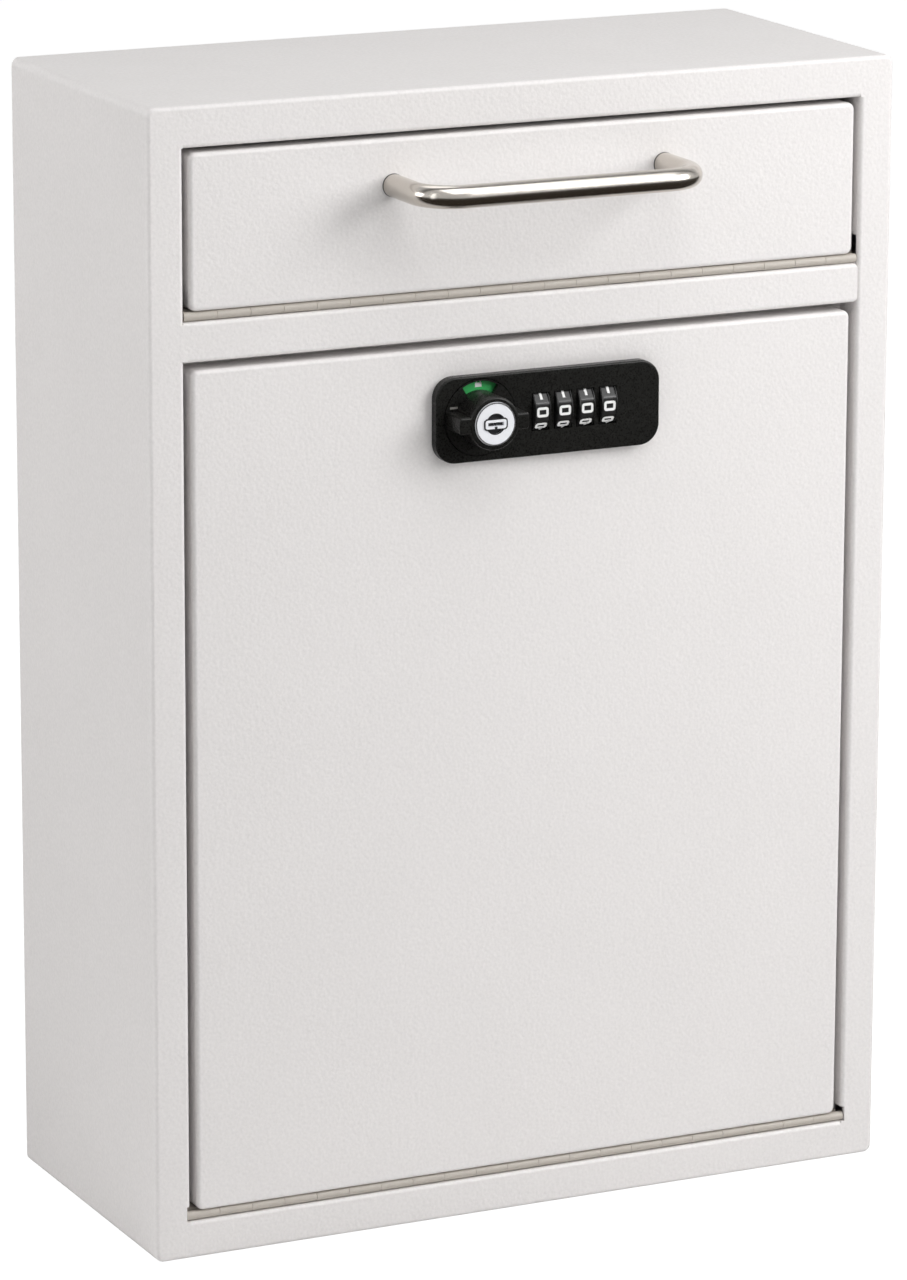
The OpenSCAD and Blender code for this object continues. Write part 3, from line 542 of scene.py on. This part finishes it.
@dataclass(frozen=True)
class SignFinish(Finish):
    """Printed disc: one quarter green about the top, the next quarter red, the rest black."""

    locked: tuple[float, float, float] = (0.62, 0.03, 0.03)
    rest: tuple[float, float, float] = (0.02, 0.02, 0.02)
    centre: tuple[float, float, float] = (0.0, 0.0, 0.0)

    def make(self, effects: Effects) -> bpy.types.Material:
        """Builds the material: the print's colour depends on the angle about the knob's axis.

        Args:
            effects: The shared shader groups.

        Returns:
            The material.
        """
        graph, shader = self.start()
        place = graph.add("VectorMath", {0: graph.add("TexCoord").outputs["Object"], 1: self.centre},
                          operation="SUBTRACT").outputs["Vector"]
        axes = graph.add("SeparateXYZ", {0: place})
        lean_up = graph.math("SUBTRACT", axes.outputs["Z"], graph.math("ABSOLUTE", axes.outputs["X"]))
        lean_right = graph.math("SUBTRACT", axes.outputs["X"], graph.math("ABSOLUTE", axes.outputs["Z"]))
        tone = graph.add("Group", node_tree=effects.tone)
        tone.inputs["Color"].default_value = (*self.color, 1.0)
        tone.inputs["Spread"].default_value = 0.08
        is_open = graph.math("GREATER_THAN", lean_up, 0.0)
        is_locked = graph.math("GREATER_THAN", lean_right, 0.0)
        print_color = graph.blend(is_open, (*self.rest, 1.0), tone.outputs["Color"])
        print_color = graph.blend(is_locked, print_color, (*self.locked, 1.0))
        graph.tree.links.new(print_color, shader.inputs["Base Color"])
        return self.material()


@dataclass
class Cabinet:
    """The fixed shell, with the weld at its rail."""

    coat: bpy.types.Material
    weld_reach: float = 1.9 * MM
    weld_proud: float = 0.05 * MM
    weld_depth: float = 2.2 * MM
    rail_height: float = 14.0 * MM

    def rail_weld(self) -> bpy.types.Object:
        """Ground weld that fills the groove between the rail's left end and the frame.

        The surface is a flat strip that bulges forward as the cosine across its width and waves
        gently along its height, so it meets both sheets without a step.
        """
        low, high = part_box("mid_rail")
        left, front, rail_top = low[0], low[1], high[2]
        rail_bottom = rail_top - self.rail_height
        across = np.linspace(-1.0, 1.0, 13)
        height = np.linspace(rail_bottom + 0.6 * MM, rail_top - 0.6 * MM, 33)
        h, a = np.meshgrid(height, across, indexing="ij")
        wave = 0.35 * MM * np.sin(h / (1.3 * MM)) * np.sin(h / (3.1 * MM) + 1.0)
        x = left - 0.35 * MM + a * (self.weld_reach + wave)
        bulge = self.weld_proud * np.cos(a * math.pi / 2) * (1 + 0.6 * np.sin(h / (1.7 * MM)))
        face = np.stack([x, front - bulge + 0.02 * MM, h], axis=-1)
        rear = face[:, ::-1].copy()
        rear[..., 1] = front + self.weld_depth * (1 - np.abs(across[None, ::-1]) ** 2) + 0.05 * MM
        weld = MeshParts("rail_weld")
        weld.add(np.concatenate([face, rear], axis=1), caps=True)
        return weld.build(self.coat, Body.CABINET.value, 60.0)


@dataclass
class Handle:
    """Bent round rod with a brushed skin, and a thin dark ring under each foot that is painted contact shadow."""

    steel: bpy.types.Material
    foot_shade_finish: bpy.types.Material
    bend: float = 13.0 * MM
    around: int = 56
    foot_shade_height: float = 0.35 * MM

    def rod(self) -> bpy.types.Object:
        """Rod as a circle carried along a path of two legs, two quarter bends and a bar.

        The path lies in one level plane, so the section's axes are the level normal of the path
        and straight up, and the grain's coordinates are the distances along and round the rod.
        """
        low, high = map(np.array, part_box("hopper_handle"))
        radius = (high[2] - low[2]) / 2
        level = (high[2] + low[2]) / 2
        half = (high[0] - low[0]) / 2 - radius
        front = low[1] + radius
        foot = high[1]
        quarter = np.linspace(0.0, math.pi / 2, 18)
        leg = np.linspace(foot, front + self.bend, 10)[:-1]
        bar = np.linspace(half - self.bend, self.bend - half, 40)[1:-1]
        right_leg = np.stack([np.full_like(leg, half), leg], axis=-1)
        bend = np.stack([half - self.bend + self.bend * np.cos(quarter),
                         front + self.bend - self.bend * np.sin(quarter)], axis=-1)
        run = np.stack([bar, np.full_like(bar, front)], axis=-1)
        mirror = np.array([-1.0, 1.0])
        path = np.vstack([right_leg, bend, run, bend[::-1] * mirror, right_leg[::-1] * mirror])
        path[:, 0] += (high[0] + low[0]) / 2
        ahead = unit(np.gradient(path, axis=0))
        side = sideways(ahead)
        turn = np.linspace(0.0, 2 * math.pi, self.around, endpoint=False)
        ring = radius * (np.cos(turn)[None, :, None] * np.append(side, np.zeros((len(side), 1)), 1)[:, None, :]
                         + np.sin(turn)[None, :, None] * UP)
        centre = np.append(path, np.full((len(path), 1), level), axis=1)
        grid = centre[:, None, :] + ring
        travel = np.append(0.0, np.cumsum(np.linalg.norm(np.diff(path, axis=0), axis=1)))
        along = np.stack(np.broadcast_arrays(travel[:, None], radius * turn[None, :]), axis=-1)
        rod = MeshParts("handle_rod")
        rod.add(grid, caps=True, along=along)
        piece = rod.build(self.steel, Body.HOPPER.value)
        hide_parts("hopper_handle")
        return piece

    def foot_shade_rings(self) -> bpy.types.Object:
        """Painted contact shadow under each foot: a thin dark flat disc on the panel, hardly wider than the rod."""
        low, high = map(np.array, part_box("hopper_handle"))
        radius = (high[2] - low[2]) / 2
        level = (high[2] + low[2]) / 2
        rings = MeshParts("handle_foot_shade_rings")
        # painted contact shadow: one thin dark disc where each leg meets the panel
        for x in (low[0] + radius, high[0] - radius):
            foot = Place(np.array([x, high[1], level]), RIGHT, UP)
            rings.add(foot.lift(disc(radius + 0.08 * MM, radius - 1.0 * MM, self.foot_shade_height)), wrap_u=True)
        return rings.build(self.foot_shade_finish, Body.HOPPER.value)


# Strokes of the digits in a square cell from -0.5 to 0.5, each with whether it is a closed loop
LOOP = ([(-0.5, -0.5), (-0.5, 0.5), (0.5, 0.5), (0.5, -0.5)], True)
DIGIT_STROKES = [
    [LOOP],
    [([(0.0, 0.5), (0.0, -0.5)], False)],
    [([(-0.5, 0.5), (0.5, 0.5), (0.5, 0.0), (-0.5, 0.0), (-0.5, -0.5), (0.5, -0.5)], False)],
    [([(-0.5, 0.5), (0.5, 0.5), (0.5, -0.5), (-0.5, -0.5)], False), ([(-0.25, 0.0), (0.5, 0.0)], False)],
    [([(-0.5, 0.5), (-0.5, -0.05), (0.5, -0.05)], False), ([(0.3, 0.5), (0.3, -0.5)], False)],
    [([(0.5, 0.5), (-0.5, 0.5), (-0.5, 0.0), (0.5, 0.0), (0.5, -0.5), (-0.5, -0.5)], False)],
    [([(-0.5, -0.5), (-0.5, 0.15), (0.5, 0.15), (0.5, -0.5)], True), ([(-0.25, 0.15), (0.1, 0.5)], False)],
    [([(-0.5, 0.5), (0.5, 0.5), (-0.1, -0.5)], False)],
    [LOOP, ([(-0.5, 0.0), (0.5, 0.0)], False)],
    [([(-0.5, -0.15), (-0.5, 0.5), (0.5, 0.5), (0.5, -0.15)], True), ([(0.25, -0.15), (-0.1, -0.5)], False)],
]


@dataclass
class Dial:
    """One number dial with ten flats and its printed numbers."""

    number: int
    body: str
    skin: bpy.types.Material
    print_white: bpy.types.Material
    rim: float = 0.5 * MM
    bore: float = 4.05 * MM
    digit_wide: float = 3.56 * MM
    digit_high: float = 2.6 * MM
    stroke: float = 0.95 * MM
    thin_stroke: float = 0.6 * MM
    corner: float = 0.6 * MM
    raised: float = 0.02 * MM
    bevel: float = 0.3 * MM
    steps_per_flat: int = 12

    @property
    def node(self) -> str:
        """Name of the dial's CAD node."""
        return f"dial_{self.number}"

    def wheel(self) -> bpy.types.Object:
        """Dial as a closed section turned about its axis.

        Round the axis the radius of the flats is the flat's distance over the cosine of the
        angle from its middle, cut off at the rounded ridges. Each section station mixes that
        with a round radius, so the rims stay round and the flats run between them.
        """
        low, high = map(np.array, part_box(self.node))
        centre = (low + high) / 2
        half = (high[0] - low[0]) / 2
        outer = (high[2] - low[2]) / 2
        flat = outer - 0.55 * MM
        count = 10 * self.steps_per_flat
        turn = np.linspace(0.0, 2 * math.pi, count, endpoint=False)
        from_middle = (turn + math.pi / 10) % (math.pi / 5) - math.pi / 10
        facets = np.minimum(flat / np.cos(from_middle), outer - 0.16 * MM)
        edge = 0.1 * MM
        groove = self.rim + 0.1 * MM
        stations = [(half, self.bore, 0.0), (half, outer - self.bevel, 0.0), (half - self.bevel, outer, 0.0),
                    (half - self.rim + edge, outer, 0.0), (half - self.rim, outer - edge, 0.0),
                    (half - self.rim, outer - 0.7 * MM, 0.0), (half - groove, outer - 0.7 * MM, 0.0),
                    (half - groove, 0.0, 1.0)]
        stations += [(-x, r, w) for x, r, w in reversed(stations)]
        x, r, w = np.array(stations).T
        radius = (1 - w)[None, :] * r[None, :] + w[None, :] * facets[:, None]
        grid = np.stack([
            np.broadcast_to(centre[0] + x[None, :], radius.shape),
            centre[1] - radius * np.cos(turn)[:, None],
            centre[2] + radius * np.sin(turn)[:, None]], axis=-1)
        wheel = MeshParts(f"{self.node}_wheel")
        wheel.add(grid, wrap_u=True, wrap_v=True)
        piece = wheel.build(self.skin, self.body, 25.0)
        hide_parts(self.node)
        return piece

    def numbers(self) -> bpy.types.Object:
        """Numbers 0 to 9, one on each flat, 0 in front and 1 above it."""
        low, high = map(np.array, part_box(self.node))
        centre = (low + high) / 2
        flat = (high[2] - low[2]) / 2 - 0.55 * MM
        cell = np.array([self.digit_wide, self.digit_high])
        marks = MeshParts(f"{self.node}_numbers")
        for digit, strokes in enumerate(DIGIT_STROKES):
            stroke = self.thin_stroke if digit in (2, 3, 5, 8) else self.stroke
            lean = math.radians(36 * digit)
            out = np.array([0.0, -math.cos(lean), math.sin(lean)])
            up = np.array([0.0, math.sin(lean), math.cos(lean)])
            place = Place(centre + out * flat, RIGHT, up)
            for corners, closed in strokes:
                path = rounded(np.array(corners) * cell, self.corner, closed)
                marks.add(place.lift(ribbon(path, stroke, self.raised, closed)), wrap_u=closed,
                          caps=not closed)
        return marks.build(self.print_white, self.body)


@dataclass
class LockFront:
    """Marks on the lock: index lines, sign pictures and the key cylinder's face."""

    white: bpy.types.Material
    grey: bpy.types.Material
    black: bpy.types.Material
    rim: bpy.types.Material

    def __post_init__(self) -> None:
        """Finds the knob's axis and the main planes from the CAD nodes."""
        self.axis = middle("lock_knob")
        self.plate_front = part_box("lock_faceplate")[0][1]
        self.sign_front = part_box("lock_sign")[0][1]
        self.shutter_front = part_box("key_plug")[0][1]
        self.face_front = self.shutter_front + 0.3 * MM

    def at(self, x: float, y: float, z: float) -> Place:
        """Place facing forward, at a distance right of and above the knob's axis."""
        return Place(np.array([self.axis[0] + x, y, self.axis[2] + z]), RIGHT, UP)

    def bar(self, name: str, place: Place, length: float, width: float, body: Body) -> bpy.types.Object:
        """Short level index line, as a ribbon along a straight path."""
        mark = MeshParts(name)
        path = np.array([[-length / 2, 0.0], [length / 2, 0.0]])
        mark.add(place.lift(ribbon(path, width, 0.06 * MM, False)), caps=True)
        return mark.build(self.grey, body.value)

    def padlock(self, name: str, degrees: float, is_open: bool) -> bpy.types.Object:
        """Plain padlock picture on the sign, its shackle an arc, lifted and swung when open.

        Args:
            name: Name of the piece.
            degrees: Angle of the picture about the knob, clockwise from the top.
            is_open: Whether the shackle is lifted.

        Returns:
            The picture.
        """
        lean = math.radians(degrees)
        up = np.array([math.sin(lean), 0.0, math.cos(lean)])
        right = np.array([math.cos(lean), 0.0, -math.sin(lean)])
        centre = np.array([self.axis[0], self.sign_front, self.axis[2]]) + up * 11.2 * MM
        place = Place(centre, right, up)
        picture = MeshParts(name)
        block = np.array([[-1.25, 0.0], [1.25, 0.0]]) * MM
        picture.add(place.lift(ribbon(block, 1.5 * MM, 0.05 * MM, False)), caps=True)
        sweep = np.radians(np.linspace(0.0, 180.0, 15))
        shackle = np.stack([np.cos(sweep), np.sin(sweep)], axis=-1) * 0.78 * MM
        shackle[:, 1] += (1.05 if is_open else 0.8) * MM
        free_end = (0.15 if is_open else 0.6) * MM
        bow = np.vstack([shackle[:1] - [[0.0, 0.6 * MM]], shackle, shackle[-1:] - [[0.0, free_end]]])
        picture.add(place.lift(ribbon(bow, 0.4 * MM, 0.05 * MM, False)), caps=True)
        return picture.build(self.white, Body.DOOR.value)

    def cylinder_face(self) -> None:
        """Steel rim of the key cylinder, painted shade in the keyway (a black disc on the recess floor and a black
        ring at its mouth) and black edge of the dust shutter.
        """
        face = self.at(0.0, self.face_front, 0.0)
        recess = self.at(0.0, self.face_front + 0.8 * MM, 0.0)
        corners = np.array([[-4.25, -1.85], [-4.25, 1.85], [4.25, 1.85], [4.25, -1.85]]) * MM
        edge = rounded(corners, 1.2 * MM, True)
        notch = np.array([[-0.5, -1.25], [0.5, -1.25]]) * MM
        notch_place = self.at(0.0, self.shutter_front, 0.0)
        for name, surface, closed, finish in (
                ("key_face_rim", face.lift(disc(7.6 * MM, 7.15 * MM, 0.05 * MM)), True, self.rim),
                # painted shade: black disc on the keyway recess's floor and black ring at its mouth, in place of
                # the shade inside the hole
                ("keyway_painted_shade", recess.lift(disc(3.48 * MM, 0.6 * MM, 0.04 * MM)), True, self.black),
                ("keyway_mouth_painted_shade", face.lift(disc(3.75 * MM, 3.3 * MM, 0.05 * MM)), True, self.black),
                ("shutter_edge", face.lift(ribbon(edge, 0.5 * MM, 0.31 * MM, True)), True, self.black),
                ("shutter_notch", notch_place.lift(ribbon(notch, 0.8 * MM, 0.03 * MM, False)), False, self.black)):
            part = MeshParts(name)
            part.add(surface, wrap_u=closed, caps=not closed)
            part.build(finish, Body.KEY.value)

    def make(self) -> None:
        """Builds every mark."""
        plate_mark = self.at(16.24 * MM, self.plate_front, -0.39 * MM)
        self.bar("plate_index_mark", plate_mark, 2.8 * MM, 0.5 * MM, Body.DOOR)
        pointer = self.at(-10.17 * MM, self.plate_front - 0.2 * MM, 4.17 * MM)
        self.bar("knob_pointer_mark", pointer, 3.0 * MM, 0.75 * MM, Body.KNOB)
        self.padlock("sign_open_picture", 0.0, True)
        self.padlock("sign_locked_picture", 90.0, False)
        self.cylinder_face()


@dataclass(frozen=True)
class SoftBox:
    """One soft studio lamp."""

    name: str
    position: tuple[float, float, float]
    size: float
    power: float
    height: float | None = None

    def place(self, target: Vector) -> None:
        """Adds the lamp and aims it.

        Args:
            target: Point that the lamp looks at.
        """
        data = bpy.data.lights.new(self.name, "AREA")
        data.shape = "RECTANGLE"
        data.size = self.size
        data.size_y = self.height or self.size
        data.energy = self.power
        lamp = bpy.data.objects.new(self.name, data)
        lamp.location = self.position
        lamp.rotation_euler = (target - Vector(self.position)).to_track_quat("-Z", "Y").to_euler()
        bpy.context.scene.collection.objects.link(lamp)


@dataclass
class Studio:
    """Camera, pale floor, soft lamps and white surroundings."""

    azimuth: float = -25.62
    elevation: float = 14.22
    roll: float = 0.19
    aim: tuple[float, float, float] = (-0.0287, -0.061, 0.2130)
    distance: float = 2.1759
    lens: float = 175.3
    surroundings: float = 0.15
    mirrored: float = 0.6
    floor_size: float = 12.0
    floor_glow: float = 1.36
    glow_share: float = 0.7

    def camera(self) -> None:
        """Camera at the photograph's place: back from the aim along azimuth and elevation."""
        turn, rise = math.radians(self.azimuth), math.radians(self.elevation)
        back = Vector((math.sin(turn) * math.cos(rise), -math.cos(turn) * math.cos(rise), math.sin(rise)))
        data = bpy.data.cameras.new("camera")
        data.sensor_width = 36.0
        data.lens = self.lens
        camera = bpy.data.objects.new("camera", data)
        camera.location = Vector(self.aim) + back * self.distance
        look = (-back).to_track_quat("-Z", "Y").to_matrix().to_4x4()
        spin = Matrix.Rotation(math.radians(self.roll), 4, "Z")
        camera.matrix_world = Matrix.Translation(camera.location) @ look @ spin
        bpy.context.scene.collection.objects.link(camera)
        bpy.context.scene.camera = camera

    def floor(self) -> None:
        """Pale floor that shows white to the camera, keeps the object's shadow and mirrors as dark."""
        half = self.floor_size / 2
        mesh = bpy.data.meshes.new("floor")
        corners = np.array([[-half, -half, 0.0], [half, -half, 0.0], [half, half, 0.0], [-half, half, 0.0]])
        mesh.from_pydata(corners.tolist(), [], [(0, 1, 2, 3)])
        floor = bpy.data.objects.new("floor", mesh)
        bpy.context.scene.collection.objects.link(floor)
        material = bpy.data.materials.new("floor_white")
        material.use_nodes = True
        graph = Graph(material.node_tree)
        shader = graph.tree.nodes["Principled BSDF"]
        shader.inputs["Base Color"].default_value = (0.9, 0.9, 0.9, 1.0)
        shader.inputs["Roughness"].default_value = 0.9
        glow = graph.add("Emission", {"Color": (1.0, 1.0, 1.0, 1.0), "Strength": self.floor_glow})
        dark = graph.add("Emission", {"Color": (0.035, 0.028, 0.022, 1.0), "Strength": 1.0})
        paths = graph.add("LightPath")
        seen = graph.math("MULTIPLY", paths.outputs["Is Camera Ray"], self.glow_share)
        lit = graph.add("MixShader", {0: seen, 1: shader.outputs[0], 2: glow.outputs[0]})
        mix = graph.add("MixShader", {0: paths.outputs["Is Glossy Ray"], 1: lit.outputs[0], 2: dark.outputs[0]})
        graph.tree.links.new(mix.outputs[0], graph.tree.nodes["Material Output"].inputs["Surface"])
        mesh.materials.append(material)

    def world(self) -> None:
        """White surroundings: plain white to the camera, dimmer as a light, with one dark gap overhead.

        The gap shows only in reflections. It is the strip of ceiling whose distance behind the
        zenith, over its height, lies between the two limits.
        """
        world = bpy.data.worlds.new("surroundings")
        world.use_nodes = True
        bpy.context.scene.world = world
        graph = Graph(world.node_tree)
        graph.tree.nodes.clear()
        paths = graph.add("LightPath")
        seen = graph.math("MAXIMUM", paths.outputs["Is Camera Ray"], paths.outputs["Is Transmission Ray"])
        ways = graph.add("SeparateXYZ", {0: graph.add("TexCoord").outputs["Generated"]}).outputs
        lean = graph.math("DIVIDE", ways["Y"], graph.math("MAXIMUM", ways["Z"], 0.05))
        gap = graph.math("MULTIPLY", graph.between(lean, 0.05, 0.12), graph.between(lean, 0.42, 0.3))
        mirrored = graph.between(gap, 0.0, 1.0, self.mirrored, 0.03)
        extra = graph.math("MULTIPLY", graph.math("SUBTRACT", mirrored, self.surroundings),
                           paths.outputs["Is Glossy Ray"])
        strength = graph.math("ADD", extra, self.surroundings)
        plain = graph.add("Background", {"Color": (1.0, 1.0, 1.0, 1.0), "Strength": 1.0})
        light = graph.add("Background", {"Color": (1.0, 1.0, 1.0, 1.0), "Strength": strength})
        mix = graph.add("MixShader", {0: seen, 1: light.outputs[0], 2: plain.outputs[0]})
        out = graph.add("OutputWorld")
        graph.tree.links.new(mix.outputs[0], out.inputs["Surface"])

    def lamps(self) -> None:
        """Soft lamps: two near ones right of and above the front, one for the side, one for the top,
        and a narrow tall one at the left whose reflection draws bright edges on the black parts."""
        target = Vector((0.0, 0.0, 0.2))
        for box in (SoftBox("right_lamp", (0.75, -0.75, 0.75), 0.6, 8.7),
                    SoftBox("front_top_lamp", (0.1, -0.5, 1.3), 0.9, 6.1),
                    SoftBox("side_lamp", (-1.7, 0.35, 0.75), 0.6, 13.4),
                    SoftBox("top_lamp", (0.1, 0.9, 1.9), 0.8, 2.6),
                    SoftBox("edge_lamp", (-1.2, -0.65, 0.7), 0.1, 1.2, height=1.2)):
            box.place(target)

    def make(self) -> None:
        """Builds the studio."""
        self.camera()
        self.floor()
        self.world()
        self.lamps()


def dress_nodes(coats: dict[Slot, bpy.types.Material]) -> None:
    """Gives each CAD node the finish of its slot.

    Args:
        coats: Finish by material slot.
    """
    slot_of = {part["node"]: part["material_slot"] for part in frame["record"]["subparts"]}
    for name, node in frame["nodes"].items():
        node.data.materials.clear()
        node.data.materials.append(coats[Slot(slot_of[name])])


def make_finishes(effects: Effects) -> tuple[dict[Slot, bpy.types.Material], dict[str, bpy.types.Material]]:
    """Builds every finish.

    Args:
        effects: The shared shader groups.

    Returns:
        Finish by material slot, and the finishes of small marks by name.
    """
    knob_axis = tuple(middle("lock_knob"))
    coats = {
        Slot.POWDER_COAT: PaintFinish("off_white_powder_coat", (0.80, 0.775, 0.765), 0.42, bump_mm=0.12,
                                      fine=750.0, swell=170.0, swell_share=0.6, spread=0.07, dust=0.05),
        Slot.HINGE_STEEL: PaintFinish("coated_hinge", (0.50, 0.46, 0.41), 0.45, bump_mm=0.03, spread=0.04),
        Slot.ZINC: MetalFinish("zinc_plate", (0.62, 0.62, 0.60), 0.36, direction=Direction.ALONG_Y),
        Slot.HANDLE_STEEL: MetalFinish("brushed_stainless", (0.64, 0.60, 0.55), 0.22,
                                       direction=Direction.ROUND_THE_ROD, across=5200.0, along=420.0,
                                       bump_mm=0.0015, roughness_spread=0.03),
        Slot.LOCK_BLACK: PaintFinish("satin_black_coat", (0.010, 0.010, 0.009), 0.3, bump_mm=0.03,
                                     fine=1500.0, swell=400.0, spread=0.8, specular=0.25,
                                     roughness_spread=0.08, dust=0.01),
        Slot.DIAL_BLACK: PaintFinish("dial_black", (0.008, 0.008, 0.008), 0.26, bump_mm=0.005, fine=2500.0,
                                     swell=600.0, spread=0.3, specular=0.35, roughness_spread=0.04),
        Slot.SIGN_PRINT: SignFinish("sign_print", (0.03, 0.36, 0.08), 0.35, centre=knob_axis),
        Slot.KEY_FACE: PaintFinish("key_face_white", (0.84, 0.85, 0.88), 0.3, bump_mm=0.004, fine=2500.0,
                                   swell=700.0, spread=0.02, roughness_spread=0.04),
        Slot.LOCK_BRASS: MetalFinish("machined_brass", (0.72, 0.55, 0.26), 0.3, direction=Direction.ALONG_X),
        Slot.SPRING_STEEL: MetalFinish("spring_steel", (0.45, 0.45, 0.46), 0.28),
    }
    marks = {
        "white": PaintFinish("number_white", (0.86, 0.86, 0.85), 0.4, bump_mm=0.004, fine=3000.0, spread=0.03),
        "grey": PaintFinish("index_grey", (0.30, 0.29, 0.27), 0.45, bump_mm=0.004, fine=3000.0, spread=0.08),
        # black finish of the keyway's painted shade and of the dust shutter's edge and notch
        "black": PaintFinish("painted_shade_and_edge_black", (0.01, 0.01, 0.012), 0.5, bump_mm=0.004, fine=3000.0, spread=0.1),
        # dark finish of the painted contact shadow under the handle's feet
        "foot_shade_finish": PaintFinish("foot_shade_black", (0.03, 0.03, 0.03), 0.7, bump_mm=0.01, fine=3000.0, spread=0.1),
    }
    marks["rim"] = MetalFinish("plug_rim_steel", (0.50, 0.50, 0.52), 0.3, direction=Direction.ALONG_Y)
    return ({slot: finish.make(effects) for slot, finish in coats.items()},
            {name: finish.make(effects) for name, finish in marks.items()})


def main() -> None:
    """Dresses the cabinet, its hopper, handle and lock, and sets up the studio."""
    logging.basicConfig(level=logging.INFO, format="%(name)s: %(message)s")
    bpy.context.scene.view_settings.view_transform = "Standard"
    Studio().make()
    coats, marks = make_finishes(Effects())
    dress_nodes(coats)
    Cabinet(coats[Slot.POWDER_COAT]).rail_weld()
    handle = Handle(coats[Slot.HANDLE_STEEL], marks["foot_shade_finish"])
    handle.rod()
    # painted contact shadow rings under the handle's feet
    handle.foot_shade_rings()
    for number, body in enumerate(("dial_a", "dial_b", "dial_c", "dial_d"), start=1):
        dial = Dial(number, body, coats[Slot.DIAL_BLACK], marks["white"])
        dial.wheel()
        dial.numbers()
    LockFront(marks["white"], marks["grey"], marks["black"], marks["rim"]).make()


if __name__ == "__main__":
    main()
